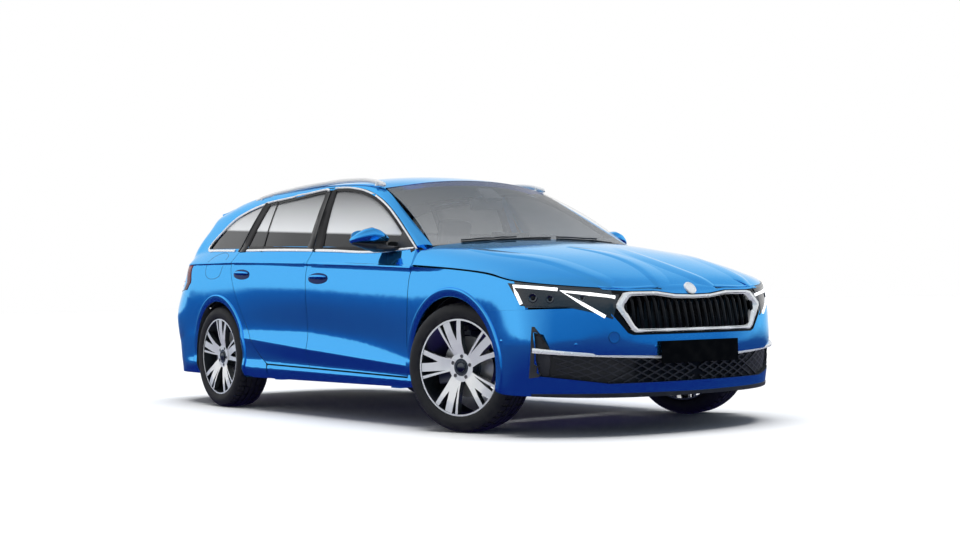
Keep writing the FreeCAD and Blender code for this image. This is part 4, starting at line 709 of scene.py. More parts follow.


# The cup's dark blue is painted shade, the paint darkened where the grip shades it.
shadow_blue = metal("handle_cup_painted_shade", (0.004, 0.020, 0.12, 1), 0.30, 0.004, 0.00001)
cup_section = ((-0.033, -0.002), (-0.032, 0.0015), (0.0, 0.0025), (0.032, 0.0015), (0.033, -0.002))
grip_section = ((-0.013, -0.002), (-0.014, 0.014), (-0.010, 0.024), (0.0, 0.028), (0.010, 0.024),
                (0.014, 0.014), (0.013, -0.002))
cup_half, cup_steps, grip_above = 0.1134, 14, 0.008
for name, (middle, height), tilt in (("front", (0.138, 0.811), -0.002),
                                     ("rear", (-0.842, 0.858), -0.004)):
    body = name + "_right_door"
    line = [(middle + cup_half * step / cup_steps, 0, height + tilt * step / cup_steps)
            for step in range(-cup_steps, cup_steps + 1)]
    line = cast(line, side_panels[body], from_right, inward)
    pair(moulding(line, cup_section, side_panels[body], swell=bulge),
         "handle_cup_" + name, shadow_blue, body)
    grip = [point + Vector((0, 0, grip_above)) for point in line[2:-2]]
    pair(moulding(grip, grip_section, side_panels[body], swell=bulge), "handle_grip_" + name,
         paint, body)

# The shoulder crease: one fold pressed into the doors and the quarter, from the front door's edge
# to the tail lamp, deeper at the front.
crease_section = ((-0.022, -0.0012), (-0.010, 0.0022), (-0.002, 0.0038), (0.006, 0.0040),
                  (0.024, 0.0014), (0.044, -0.0012))
crease_line = ((1.097, 0.8500), (0.60, 0.8760), (0.0, 0.9035), (-0.50, 0.9215), (-1.010, 0.9370),
               (-1.40, 0.9450), (-1.68, 0.9480))
crease_spans = {"front_right_door": (0.004, 1.2), "rear_right_door": (-1.000, -0.010),
                "body": (-1.68, -1.008)}
for body, (low, high) in crease_spans.items():
    smooth = drawn([Vector((x, 0, z)) for x, z in crease_line], steps=14)
    line = [point for point in smooth if low < point.x < high]
    depths = [0.30 + 0.70 * max(0.0, min(1.0, (point.x + 1.3) / 2.4)) for point in line]
    line = cast(line, side_panels[body], from_right, inward)
    pair(moulding(line, crease_section, side_panels[body],
                  swell=lambda share: depths[round(share * (len(depths) - 1))]),
         "shoulder_crease_" + body.split("_")[0], paint, body, crease=25)

# The filler flap: its shut line in the quarter panel, a dark groove with rounded corners. The flap
# itself stays part of the panel.
flap = [(-1.381, 0, 0.858), (-1.395, 0, 0.880), (-1.386, 0, 0.960), (-1.366, 0, 0.990),
        (-1.150, 0, 0.992), (-1.128, 0, 0.972), (-1.160, 0, 0.870), (-1.186, 0, 0.852)]
flap = drawn(cast(flap, side_panels["body"], from_right, inward), True)
pair(moulding(flap, flat_section(0.0012, 0.0012, 0.0006, 0.003), side_panels["body"], True),
     "filler_flap_seam", gloss_black, "body")

# The arch lips: soft rolled edges round the wheels, pressed into the fenders, quarters and bumpers
# and painted with them.
lip_section = ((-0.026, -0.002), (-0.025, 0.0035), (-0.021, 0.0080), (-0.016, 0.0088),
               (0.004, 0.0048), (0.019, 0.0008), (0.020, -0.004))
arc_radius, arc_steps = 0.381, 60
for name, axle, first, last, carriers in (
        ("front", front_axle, -14, 186, ("fenders", "front_bumper")),
        ("rear", rear_axle, -16, 196, ("quarters", "rear_bumper"))):
    panels, arc = ground(*carriers), []
    for step in range(arc_steps + 1):
        angle = math.radians(first + (last - first) * step / arc_steps)
        arc.append((axle + arc_radius * math.cos(angle), 0,
                    wheel_radius + arc_radius * math.sin(angle)))
    arc = cast(arc, panels, from_right, inward)
    pair(moulding(arc, lip_section, panels), "arch_lip_" + name, paint, "body")


# The headlamps: a smooth dark cover over the housing, two angular light lines of white plastic with
# a painted glow, and three bowls with their projectors. They are screwed in between the grille,
# bumper and fender.
lamp_panels = ground("headlamps", "grille", "fenders", "front_bumper")


def between_spots(spots, share):
    # The spot at a share of the way along a row of spots.
    number, rest = divmod(min(share, 0.9999) * (len(spots) - 1), 1)
    first, second = spots[int(number)], spots[int(number) + 1]
    return tuple(a + (b - a) * rest for a, b in zip(first, second))


def lens(upper, lower, proud, panels, steps=24):
    # A thin cover that lies on the panels between an upper and a lower edge drawn on the picture.
    rows, under = [], -0.001
    for share in (0.0, 0.03, 0.18, 0.34, 0.50, 0.66, 0.82, 0.97, 1.0):
        spots = []
        for step in range(steps + 1):
            ends = between_spots(upper, step / steps), between_spots(lower, step / steps)
            spots.append(tuple(a + (b - a) * share for a, b in zip(*ends)))
        lift = proud if 0.0 < share < 1.0 else under
        rows.append([spot + (camera_place - spot).normalized() * lift
                     for spot in seen(spots, panels)])
    bm = loft(rows)
    bmesh.ops.solidify(bm, geom=bm.faces, thickness=0.002)
    bmesh.ops.recalc_face_normals(bm, faces=bm.faces)
    return bm


lamp_top = [(507.3, 282.8), (520.0, 283.8), (540.0, 285.4), (560.0, 287.4), (590.0, 290.6),
            (619.2, 294.4)]
lamp_low = [(520.6, 306.2), (545.0, 307.0), (563.0, 307.2), (584.0, 307.6), (600.0, 315.4),
            (613.0, 319.6)]
lamp_black = moulded("lamp_black", (0.010, 0.011, 0.013, 1), 0.10, 0.012, 0.0004, 0.6)
pair(lens(lamp_top, lamp_low, 0.0025, lamp_panels, 40), "headlamp_cover", lamp_black, "body")
# The lines' emission is a painted glow on the white plastic.
glow = Finish("light_line")
light_white = glow.set(
    Base_Color=(0.9, 0.9, 0.9, 1), Roughness=glow.range(glow.noise(0.01), 0.3, 0.7, 0.2, 0.4),
    Emission_Color=glow.blend(glow.noise(0.01), (0.95, 0.97, 1.0, 1), (1.0, 1.0, 1.0, 1)),
    Emission_Strength=1.0)
light_section = round_section(0.0075, 0.008, 0.004, 0.0105)
outer_light = [(557.5, 289.8), (536.0, 287.9), (513.6, 286.2), (516.6, 293.5), (521.6, 304.2)]
inner_light = [(614.5, 297.6), (590.0, 294.4), (561.0, 291.6), (583.0, 304.4), (605.0, 316.8)]
light_parts = []
for spots in (outer_light, inner_light):
    points = drawn(seen(spots, lamp_panels), steps=6, sharp=range(len(spots)))
    light_parts.append(moulding(points, light_section, lamp_panels))
pair(merged(light_parts), "light_lines", light_white, "body")
bowl_profile = ((0.0, 0.002), (0.012, 0.003), (0.017, 0.007), (0.021, 0.008), (0.024, 0.005),
                (0.026, -0.002))
eye_profile = ((0.0, 0.009), (0.008, 0.0075), (0.0125, 0.002), (0.013, -0.001))


def turned(profile, steps=28):
    # A turned piece about its own Z axis.
    bm = bmesh.new()
    points = [bm.verts.new((radius, 0, height)) for radius, height in profile]
    edges = [bm.edges.new(ends) for ends in zip(points, points[1:])]
    bmesh.ops.spin(bm, geom=points + edges, cent=(0, 0, 0), axis=(0, 0, 1),
                   angle=math.tau, steps=steps, use_merge=True)
    bmesh.ops.remove_doubles(bm, verts=bm.verts, dist=0.00002)
    bmesh.ops.recalc_face_normals(bm, faces=bm.faces)
    return bm


def stood(bm, place, direction, size=1.0):
    # Turns a piece's Z axis to a direction and carries it to its place.
    turn_to = Vector(direction).to_track_quat("Z", "Y").to_matrix().to_4x4()
    bmesh.ops.transform(bm, matrix=Matrix.Translation(place) @ turn_to @ Matrix.Scale(size, 4),
                        verts=bm.verts)
    return bm


bowls, eyes = [], []
for spot, size in (((533.0, 298.0), 0.95), ((550.0, 299.2), 0.80), ((582.0, 298.2), 0.62)):
    place, normal = seated(spot, lamp_panels)
    bowls.append(stood(turned(bowl_profile), place, normal, size))
    eyes.append(stood(turned(eye_profile), place, normal, size))
pair(merged(bowls), "lamp_bowls", lamp_body, "body")
pair(merged(eyes), "lamp_projectors", gloss_black, "body")


# The grille's frame: a thick bright moulding with a ridge all along it, plated and clipped to the
# front bumper round the slats.
nose_ground = ground("grille", "front_bumper", "lower_grille", "headlamps")
frame_outer = ((0.0, 0.501), (0.20, 0.501), (0.389, 0.501), (0.414, 0.517), (0.487, 0.621),
               (0.485, 0.636), (0.430, 0.691), (0.402, 0.6965), (0.238, 0.6965), (0.119, 0.6806),
               (0.0, 0.6777))
frame_inner = ((0.0, 0.516), (0.20, 0.516), (0.374, 0.517), (0.393, 0.533), (0.440, 0.620),
               (0.436, 0.631), (0.404, 0.668), (0.386, 0.677), (0.2396, 0.679), (0.119, 0.663),
               (0.0, 0.660))
from_front, rearward = Vector((3.0, 0, 0)), Vector((-1, 0, 0))
nose_half = 0.545


def nose_place(panels, y, z):
    # Where the nose is met from straight ahead; beyond its corners nothing may be met.
    return panels.ray_cast(from_front + Vector((0, y, z)), rearward)[0]


def front_loop(half, lift):
    # A closed loop from its right half, laid on the nose.
    spots = [(0, -y, z) for y, z in half] + [(0, y, z) for y, z in half[-2:0:-1]]
    line = []
    for spot in spots:
        place = nose_place(nose_ground, max(-nose_half, min(nose_half, spot[1])), spot[2])
        line.append(Vector((place.x + lift, spot[1], spot[2])))
    return drawn(line, True, 6, sharp=range(len(line)))


ridge_share = 0.45
ridge = [tuple(a * (1 - ridge_share) + b * ridge_share for a, b in zip(outer, inner))
         for outer, inner in zip(frame_outer, frame_inner)]
crest = front_loop(ridge, 0.006)


def depth_like(loop, deeper):
    return [Vector((top.x - deeper, point.y, point.z)) for top, point in zip(crest, loop)]


outer_edge, inner_edge = front_loop(frame_outer, 0.0), front_loop(frame_inner, 0.0)
grille_frame = loft([depth_like(outer_edge, 0.022), depth_like(outer_edge, 0.006), crest,
                     depth_like(inner_edge, 0.008), depth_like(inner_edge, 0.030)], closed=True,
                    tube=True)
put(grille_frame, "grille_frame", chrome, "body", crease=20)


# The grille's slats: glossy black plastic, standing upright from the frame's lower bar to its
# upper one, and leaning back at both ends.
def oval(across, high, count=16, square=2.6):
    # A rounded section as places from -1 to 1 times its two half sizes.
    places = []
    for step in range(count):
        angle = math.tau * step / count
        c, s = math.cos(angle), math.sin(angle)
        places.append((across * math.copysign(abs(c) ** (2 / square), c),
                       high * math.copysign(abs(s) ** (2 / square), s)))
    return places


def swept(points, sections, upright=(0, 0, 1)):
    # A closed limb along a line, with a section of its own at every point.
    rows = []
    for number, (point, section) in enumerate(zip(points, sections)):
        after, before = points[min(number + 1, len(points) - 1)], points[max(number - 1, 0)]
        run = (Vector(after) - Vector(before)).normalized()
        across = run.cross(Vector(upright)).normalized()
        high = across.cross(run).normalized()
        rows.append([Vector(point) + across * a + high * b for a, b in section])
    bm = loft(rows, closed=True)
    bmesh.ops.holes_fill(bm, edges=bm.edges, sides=len(rows[0]))
    bmesh.ops.recalc_face_normals(bm, faces=bm.faces)
    return bm


slats = []
frame_top = ((0.0, 0.664), (0.119, 0.667), (0.2396, 0.682), (0.390, 0.680), (0.412, 0.673),
             (0.455, 0.628))
frame_low = ((0.0, 0.514), (0.378, 0.514), (0.399, 0.528), (0.455, 0.608))


def between(table, place):
    for (first, low), (last, high) in zip(table, table[1:]):
        if first <= place <= last:
            return low + (high - low) * (place - first) / (last - first)
    return table[-1][1]


slat_spacing, slats_a_side, slat_depth = 0.0455, 10, 0.009
for number in range(slats_a_side):
    middle = (number + 0.5) * slat_spacing
    top, low = between(frame_top, middle), between(frame_low, middle)
    line, sections = [], []
    for share, depth, width in ((0.0, 0.022, 0.006), (0.08, 0.014, 0.008), (0.5, 0.010, 0.009),
                                (0.80, 0.010, 0.009), (0.90, 0.016, 0.008), (1.0, 0.034, 0.005)):
        height = low + (top - low) * share
        head = nose_place(nose_ground, -middle, top + 0.01)
        foot = nose_place(nose_ground, -middle, low - 0.01)
        line.append((foot.x + (head.x - foot.x) * share - depth, -middle, height))
        sections.append(oval(slat_depth, width, 12, 2.2))
    slats.append(swept(line, sections, (1, 0, 0)))
pair(merged(slats), "grille_slats", gloss_black, "body")

# The badge: a plain round disc with a bright raised rim, stuck to the front edge of the bonnet
# over the grille.
badge_profile = ((0.0, 0.0035), (0.026, 0.0028), (0.028, 0.0045), (0.032, 0.0055), (0.0355, 0.0035),
                 (0.0365, -0.004), (0.0, -0.004))
badge_place = nose_place(ground("bonnet", "grille"), 0, 0.712) + Vector((0.008, 0, 0))
put(stood(turned(badge_profile, 40), badge_place, (0.80, 0, 0.60), 0.96), "badge_disc_front",
    chrome, "hood")

# The bonnet's rolled front edge: the same painted steel, turned down to the grille's frame and
# lifting with the bonnet.
lip_heights = ((0.0, 0.733), (0.183, 0.729), (0.384, 0.722), (0.530, 0.728))
frame_heights = ((0.0, 0.6830), (0.119, 0.6860), (0.238, 0.7010), (0.402, 0.7010), (0.530, 0.7090))
lip_ground = ground("bonnet", "grille", "front_bumper", "headlamps")
rows = [[], [], [], [], [], []]
lip_half, lip_steps, lip_proud, lip_return, lip_depth = 0.530, 48, 0.004, 0.020, 2.15
for step in range(lip_steps + 1):
    y = -lip_half + 2 * lip_half * step / lip_steps
    head, foot = between(lip_heights, abs(y)), between(frame_heights, abs(y))
    x = 0.0
    for number, share in enumerate((0.0, 0.25, 0.5, 0.75, 1.0)):
        z = head + (foot - head) * share
        place = nose_place(lip_ground, y, z)
        if place is None:
            place = lip_ground.find_nearest(Vector((lip_depth, y, z)))[0]
        x = max(x + 0.0012, place.x + (lip_proud if share else 0.0))
        rows[number].append(Vector((x, y, z)))
    rows[5].append(rows[4][-1] + rearward * lip_return)
lip = loft(rows, tube=True)
put(lip, "bonnet_lip", paint, "hood", crease=50)

# The bonnet's folds: two soft ridges on each side, pressed into the sheet from the screen's foot
# towards the grille.
bonnet_ground = ground("bonnet")
fold_section = ((-0.050, -0.0012), (-0.034, 0.0004), (-0.014, 0.0034), (0.0, 0.0050),
                (0.018, 0.0048), (0.060, 0.0028), (0.115, -0.0012))
folds = []
for line in ([(470.0, 249.5), (500.0, 254.5), (545.3, 261.0), (584.0, 274.2), (608.3, 285.6),
              (617.0, 290.5)],
             [(567.2, 246.9), (608.3, 254.8), (638.6, 266.9), (654.4, 280.0), (659.5, 287.0)]):
    points = drawn(seen(line, bonnet_ground), steps=10)
    folds.append(moulding(points, fold_section, bonnet_ground,
                          swell=lambda share: 0.35 + 0.65 * math.sin(math.pi * share) ** 0.5))
pair(merged(folds), "bonnet_folds", paint, "hood", crease=60)

# The front bumper's bright strip: a plated bar clipped in over the lower opening, broader at its
# outer end than beside the plate.
bumper_ground = ground("front_bumper", "lower_grille")
strip = seen([(532.0, 350.6), (552.0, 352.4), (570.2, 353.8), (613.8, 355.8), (640.0, 356.4),
              (663.5, 356.8)], bumper_ground)
strip_behind_nose = 0.020
for behind, point in zip(strip, strip[1:]):
    point.x = min(max(behind.x + 0.002, point.x), cad_box[1][0] - strip_behind_nose)
strip = [point + Vector((0.005, -0.002, 0)) for point in drawn(strip)]
pair(swept(strip, [oval(0.009, 0.0075 + 0.0050 * (1 - number / len(strip)) ** 2, 12, 3.0)
                   for number in range(len(strip))]),
     "bumper_strip", chrome, "body")

# The lower opening's lattice: thin black bars that cross at a slant, standing free over the open
# middle and only raised a little at the closed ends, with a plain moulded corner outside them.
lattice_ground = ground("lower_grille")
lattice = []
bar_spacing, bar_start, bar_lean, bar_steps = 0.074, 0.008, 0.255, 6
lattice_half, lattice_low, lattice_top, open_half = 0.735, 0.262, 0.376, 0.38
for lean in (-1, 1):
    for number in range(-4, 14):
        start = number * bar_spacing + bar_start
        spots = []
        for step in range(bar_steps + 1):
            y = start + lean * (step / bar_steps - 0.5) * bar_lean
            if 0 <= y <= lattice_half:
                low = lattice_low + max(0.0, y - 0.5) * 0.165
                spots.append((0, -y, low + step / bar_steps * (lattice_top + 0.02 * y - low)))
        if len(spots) < 2:
            continue
        section = flat_section(0.0042, 0.0032, 0.008 if start < open_half else 0.0014)
        points = cast(spots, lattice_ground, from_front, rearward)
        lattice.append(moulding(points, section, lattice_ground))
lattice_black = moulded("lattice_black", (0.022, 0.022, 0.023, 1), 0.42)
pair(merged(lattice), "intake_lattice", lattice_black, "body")
corner_left = [(531.6, 326.8), (530.6, 338.0), (530.4, 350.0), (529.8, 364.0), (528.6, 378.6)]
corner_right = [(534.2, 326.8), (542.6, 337.0), (550.0, 349.0), (551.0, 364.0), (549.0, 376.0)]
pair(lens(corner_left, corner_right, 0.0045, bumper_ground), "intake_corner", lattice_black,
     "body")

# The bumper's under edge: a black moulded strip clipped on below the painted skin, which dips a
# little in the middle.
edge_steps, edge_half, edge_height, edge_dip = 20, 0.80, 0.194, 0.008
under_edge = [(0, edge_half * step / edge_steps, edge_height + edge_dip * abs(step) / edge_steps)
              for step in range(-edge_steps, edge_steps + 1)]
under_edge = cast(under_edge, bumper_ground, from_front, rearward)
put(moulding(under_edge, flat_section(0.013, 0.012, 0.003), bumper_ground), "bumper_under_edge",
    black_plastic, "body")

# The bumper's round inserts: painted distance sensors pushed in from behind, and the cover of the
# towing eye's thread with a dark seam round it.
sensor_profile = ((0.0, 0.0012), (0.0065, 0.0012), (0.0078, 0.0004), (0.0084, -0.001))
sensors = [stood(turned(sensor_profile), *seated(spot, bumper_ground))
           for spot in ((576.0, 344.8), (656.0, 346.5), (501.1, 341.0))]
pair(merged(sensors), "distance_sensors", paint, "body")
eye_spot = seated((614.3, 337.6), bumper_ground)
put(stood(turned(((0.0, 0.0004), (0.026, 0.0006), (0.0275, -0.0012), (0.028, -0.003))), *eye_spot),
    "towing_eye_cover", paint, "body")
put(stood(turned(((0.0275, -0.003), (0.0275, 0.0004), (0.0288, 0.0004), (0.0288, -0.003))),
          *eye_spot), "towing_eye_seam", gloss_black, "body")


# The door mirrors: a painted shell over a black moulded lower half, on a short black arm that is
# bolted to the door's front corner, with silvered glass facing back.
mirror_ahead, mirror_deep, mirror_high = 0.704, 0.062, 0.046


def housing(first, last, foot, shape):
    # Sections of the housing from the arm's side to its outer tip, all standing on one low edge.
    line, sections = [], []
    for share, sweep, deep, high in shape:
        line.append((mirror_ahead + sweep, first + (last - first) * share,
                     foot + mirror_high * high))
        sections.append(oval(mirror_deep * deep, mirror_high * abs(high), 28, 2.3))
    return swept(line, sections)


shell = housing(-0.790, -0.9895, 0.989, (
    (0.0, 0.004, 0.50, 0.28), (0.015, 0.002, 0.72, 0.44), (0.15, 0.0, 0.92, 0.68),
    (0.30, -0.003, 1.02, 0.88), (0.45, -0.006, 1.05, 1.0), (0.62, -0.014, 1.0, 0.88),
    (0.80, -0.026, 0.84, 0.66), (0.94, -0.036, 0.64, 0.44), (0.985, -0.042, 0.48, 0.30),
    (1.0, -0.044, 0.30, 0.14)))
lower = housing(-0.800, -0.985, 1.000, (
    (0.0, 0.006, 0.60, -0.44), (0.03, 0.004, 0.80, -0.60), (0.30, -0.004, 0.94, -0.62),
    (0.55, -0.012, 0.92, -0.48), (0.80, -0.026, 0.74, -0.28), (0.97, -0.040, 0.50, -0.16),
    (1.0, -0.042, 0.30, -0.08)))
pair(shell, "mirror_shell", paint, "front_right_door")
pair(lower, "mirror_lower", black_plastic, "front_right_door")
arm = swept([(0.725, -0.860, 0.968), (0.755, -0.820, 0.962), (0.800, -0.790, 0.960),
             (0.830, -0.782, 0.962)],
            [oval(0.036, 0.016, 16), oval(0.042, 0.017, 16), oval(0.046, 0.014, 16),
             oval(0.048, 0.008, 16)])
pair(arm, "mirror_arm", black_plastic, "front_right_door")
mirror_glass = swept([(x, -0.893, 1.026) for x in (0.6508, 0.6488, 0.6480)],
                     [oval(0.088, 0.040, 28), oval(0.088, 0.040, 28), oval(0.085, 0.037, 28)])
silvered = metal("silvered_glass", (0.72, 0.74, 0.76, 1), 0.05)
pair(mirror_glass, "mirror_glass", silvered, "front_right_door")
for side in ("right", "left"):
    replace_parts(bpy.data.objects["mirror_shell_" + side], "mirror_" + side)


# The roof rails: drawn satin bars that rise from the roof at the front and run low to the tail,
# each screwed down through two short feet.
rail_side, rail_wide, rail_tall = -0.590, 0.016, 0.0135
rail_line = drawn([Vector((x, rail_side, z)) for x, z in (
    (0.392, 1.343), (0.350, 1.358), (0.250, 1.381), (0.05, 1.3995), (-0.35, 1.4045),
    (-0.75, 1.394), (-1.02, 1.379), (-1.16, 1.361), (-1.226, 1.343))], steps=5)
sections = []
for number in range(len(rail_line)):
    share = number / (len(rail_line) - 1)
    end = min(1.0, 0.35 + 12 * min(share, 1 - share))
    sections.append(oval(rail_wide * end, rail_tall * end, 14, 3.0))
bars = [swept(rail_line, sections)]
for x, z in ((0.33, 1.346), (-1.10, 1.350)):
    bars.append(swept([(x, rail_side, z), (x, rail_side, z + 0.022)],
                      [oval(0.030, 0.011, 14, 3.0), oval(0.024, 0.009, 14, 3.0)], (1, 0, 0)))
pair(merged(bars), "roof_rail", rail_silver, "body")
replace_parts(bpy.data.objects["roof_rail_right"], "roof_rails")


# The tyres' tread: four grooves moulded round it, with short sipes across its ribs and shoulders.
# Half of the section is listed, from the middle of the tread to the bead in the rim.
tread_half = ((0.0, 0.3300), (0.0135, 0.3300), (0.0145, 0.3235), (0.0215, 0.3235), (0.0225, 0.3298),
              (0.0495, 0.3290), (0.0505, 0.3225), (0.0585, 0.3225), (0.0595, 0.3286),
              (0.0700, 0.3276), (0.0850, 0.3250), (0.0960, 0.3195), (0.1050, 0.3095),
              (0.1105, 0.2960), (0.1120, 0.2880), (0.1125, 0.2800), (0.1115, 0.2705),
              (0.1085, 0.2600), (0.1080, 0.2575), (0.1060, 0.2560), (0.1020, 0.2490),
              (0.0950, 0.2478))
tread_profile = [(-y, r) for y, r in tread_half[:0:-1]] + list(tread_half)
tread_steps = 150
for corner, centre in wheel_centres.items():
    bm = bmesh.new()
    points = [bm.verts.new((radius, 0, across)) for across, radius in tread_profile]
    edges = [bm.edges.new(ends) for ends in zip(points, points[1:] + points[:1])]
    bmesh.ops.spin(bm, geom=points + edges, cent=(0, 0, 0), axis=(0, 0, 1), angle=math.tau,
                   steps=tread_steps, use_merge=True)
    bmesh.ops.remove_doubles(bm, verts=bm.verts, dist=0.00002)
    bmesh.ops.recalc_face_normals(bm, faces=bm.faces)
    sipes = []
    for face in bm.faces:
        middle = face.calc_center_median()
        degrees = math.degrees(math.atan2(middle.y, middle.x)) + 360
        turn_step = int(round(degrees / (360 / tread_steps)))
        across, radius = abs(middle.z), middle.xy.length
        shoulder = 0.060 < across < 0.100 and radius > 0.31 and turn_step % 3 == 0
        rib = 0.0235 < across < 0.049 and radius > 0.326 and turn_step % 5 == 0
        if shoulder or rib:
            sipes.append(face)
    bmesh.ops.inset_individual(bm, faces=sipes, thickness=0.0016, depth=-0.004)
    stood(bm, centre, wheel_axes[corner])
    tyre = put(bm, "treaded_tyre_" + corner, tyre_black, corner + "_wheel", 30)
    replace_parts(tyre, "tyre_" + corner)

# The wheels' small parts: five steel bolts in their pockets, and a blank cap with a raised ring
# pushed into the hub.
bolt_profile = ((0.0, 0.005), (0.0045, 0.005), (0.0050, 0.0085), (0.0080, 0.0085), (0.0088, 0.0),
                (0.0088, -0.002))
cap_profile = ((0.0, 0.0030), (0.020, 0.0024), (0.0235, 0.0010), (0.0245, 0.0034),
               (0.0285, 0.0034), (0.0300, 0.0006), (0.0305, -0.003))
bolts_a_wheel, bolt_circle, bolt_face, cap_face = 5, 0.056, 0.067, 0.0803
upward = Vector((0, 0, 1))
for corner, centre in wheel_centres.items():
    out = wheel_axes[corner]
    ahead = upward.cross(out)
    turned_by = 31.0 if corner.startswith("front") else 10.0
    bolts = []
    for number in range(bolts_a_wheel):
        angle = math.radians((number + 0.5) * 360 / bolts_a_wheel - turned_by)
        spot = (Vector(centre) + out * bolt_face + upward * (bolt_circle * math.cos(angle))
                + ahead * (bolt_circle * math.sin(angle)))
        bolts.append(stood(turned(bolt_profile, 6), spot, out))
    put(merged(bolts), "wheel_bolts_" + corner, steel, corner + "_wheel")
    put(stood(turned(cap_profile, 36), Vector(centre) + out * cap_face, out),
        "wheel_cap_" + corner, lamp_body, corner + "_wheel")


# The seats: foam under grey woven cloth, with side bolsters, sewn channels and head restraints on
# steel posts, all on plinths that are bolted to the floor.
cloth = Finish("grey_seat_cloth")


def threads(letter):
    return cloth.node("TexWave", {"wave_type": "BANDS", "bands_direction": letter},
                      {"Vector": cloth.place(), "Scale": 420.0, "Distortion": 0.4})


weave = threads("Z") * threads("Y")
fluff = cloth.noise(0.02, 4.0)
seat_cloth = cloth.set(
    Base_Color=cloth.blend(weave * 0.6 + fluff * 0.4, (0.15, 0.15, 0.155, 1),
                           (0.30, 0.30, 0.305, 1)),
    Roughness=cloth.range(fluff, 0.3, 0.7, 0.82, 0.95), Sheen_Weight=0.25,
    Normal=cloth.relief(weave, 0.0004))
bolster_start, channel_half, channel_deep, seam_half, seam_deep = 0.62, 0.035, 0.10, 0.03, 0.12


def cushion(name, half, place, lean, bolster=0.0, channels=(), crown=0.10):
    # A crowned pad: half sizes across, along and through, then leaned back and put in its place.
    bm = bmesh.new()
    bmesh.ops.create_cube(bm, size=2.0)
    bmesh.ops.subdivide_edges(bm, edges=bm.edges, cuts=27, use_grid_fill=True)
    for vertex in bm.verts:
        u, v, w = vertex.co
        reach = (abs(u) ** 5 + abs(v) ** 5 + abs(w) ** 5) ** 0.2
        u, v, w = u / reach, v / reach, w / reach
        rise = 1 + crown * (1 - u * u) * (1 - v * v)
        side = max(0.0, (abs(u) - bolster_start) / (1 - bolster_start))
        rise += bolster * math.sin(math.pi * min(1.0, side) * 0.75) * (w > 0)
        for line in channels:
            near = (v - line) / channel_half
            if abs(u) < bolster_start and w > 0:
                rise -= channel_deep * math.exp(-near * near)
        near = (abs(u) - bolster_start) / seam_half
        if bolster and w > 0:
            rise -= seam_deep * math.exp(-near * near)
        pull = 1 - 0.035 * (1 - v * v)
        vertex.co = (v * half[1], u * half[0] * pull, w * half[2] * rise / (1 + crown + bolster))
    bmesh.ops.recalc_face_normals(bm, faces=bm.faces)
    bmesh.ops.rotate(bm, verts=bm.verts, cent=(0, 0, 0),
                     matrix=Matrix.Rotation(math.radians(lean), 3, "Y"))
    bmesh.ops.translate(bm, verts=bm.verts, vec=place)
    piece = put(bm, name, seat_cloth, "body", 80)


def leaned(x, y, z, rise, lean):
    # A place up a back that leans by so many degrees.
    return x - math.sin(math.radians(lean)) * rise, y, z + math.cos(math.radians(lean)) * rise


seat_lean, seat_foot, post_offset = 18, 0.40, 0.06
plinth_size, plinth_flare = (0.42, 0.40, 0.085), (1.12, 1.15, 1.0)
for side, y in (("right", -0.37), ("left", 0.37)):
    cushion("seat_cushion_" + side, (0.248, 0.252, 0.078), (0.172, y, 0.440), -4, 0.30,
            (-0.35, 0.25, 0.75))
    cushion("seat_back_" + side, (0.246, 0.315, 0.056),
            leaned(-0.042, y, seat_foot, 0.335, seat_lean), seat_lean - 90, 0.35,
            (-0.45, -0.1, 0.25, 0.6))
    cushion("head_restraint_" + side, (0.122, 0.088, 0.038),
            leaned(-0.058, y, seat_foot, 0.745, seat_lean), seat_lean - 90)
    posts = [swept([leaned(-0.055, y + offset, seat_foot, rise, seat_lean)
                    for rise in (0.62, 0.72)], [oval(0.006, 0.006, 10, 2)] * 2, (1, 0, 0))
             for offset in (-post_offset, post_offset)]
    put(merged(posts), "head_posts_" + side, chrome, "body")
    plinth = bmesh.new()
    bmesh.ops.create_cube(plinth, size=1.0)
    bmesh.ops.scale(plinth, vec=plinth_size, verts=plinth.verts)
    top = [vertex for vertex in plinth.verts if vertex.co.z > 0]
    bmesh.ops.scale(plinth, vec=plinth_flare, verts=top)
    bmesh.ops.translate(plinth, vec=(0.17, y, 0.318), verts=plinth.verts)
    bmesh.ops.bevel(plinth, geom=plinth.edges[:], offset=0.018, segments=3, profile=0.5,
                    affect="EDGES", material=-1)
    put(plinth, "seat_plinth_" + side, cabin_plastic, "body")
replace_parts(bpy.data.objects["seat_cushion_right"], "front_seats")
bench_lean, bench_foot = 10, 0.43
cushion("bench_cushion", (0.630, 0.222, 0.085), (-0.632, 0.0, 0.452), -4, 0.0, (-0.3, 0.3),
        0.12)
cushion("bench_back", (0.630, 0.290, 0.056), leaned(-0.812, 0.0, bench_foot, 0.285, bench_lean),
        bench_lean - 90, 0.0, (-0.5, 0.0, 0.5), 0.12)
for name, y in (("right", -0.40), ("middle", 0.0), ("left", 0.40)):
    cushion("bench_restraint_" + name, (0.122, 0.052, 0.036),
            leaned(-0.815, y, bench_foot, 0.630, bench_lean), bench_lean - 90)
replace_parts(bpy.data.objects["bench_cushion"], "rear_bench")


# Inside the screen: the driving mirror on its foot, the camera housing behind it, and the display
# and the instruments' hood on the dash, all in moulded plastic.
def slab(size, place, lean, bevel):
    # A rounded tablet of a piece, leaned and put in its place.
    bm = bmesh.new()
    bmesh.ops.create_cube(bm, size=1.0)
    bmesh.ops.scale(bm, vec=size, verts=bm.verts)
    bmesh.ops.bevel(bm, geom=bm.edges[:], offset=bevel, segments=4, profile=0.5, affect="EDGES",
                    material=-1)
    bmesh.ops.rotate(bm, verts=bm.verts, cent=(0, 0, 0),
                     matrix=Matrix.Rotation(math.radians(lean), 3, "Y"))
    bmesh.ops.translate(bm, verts=bm.verts, vec=place)
    return bm


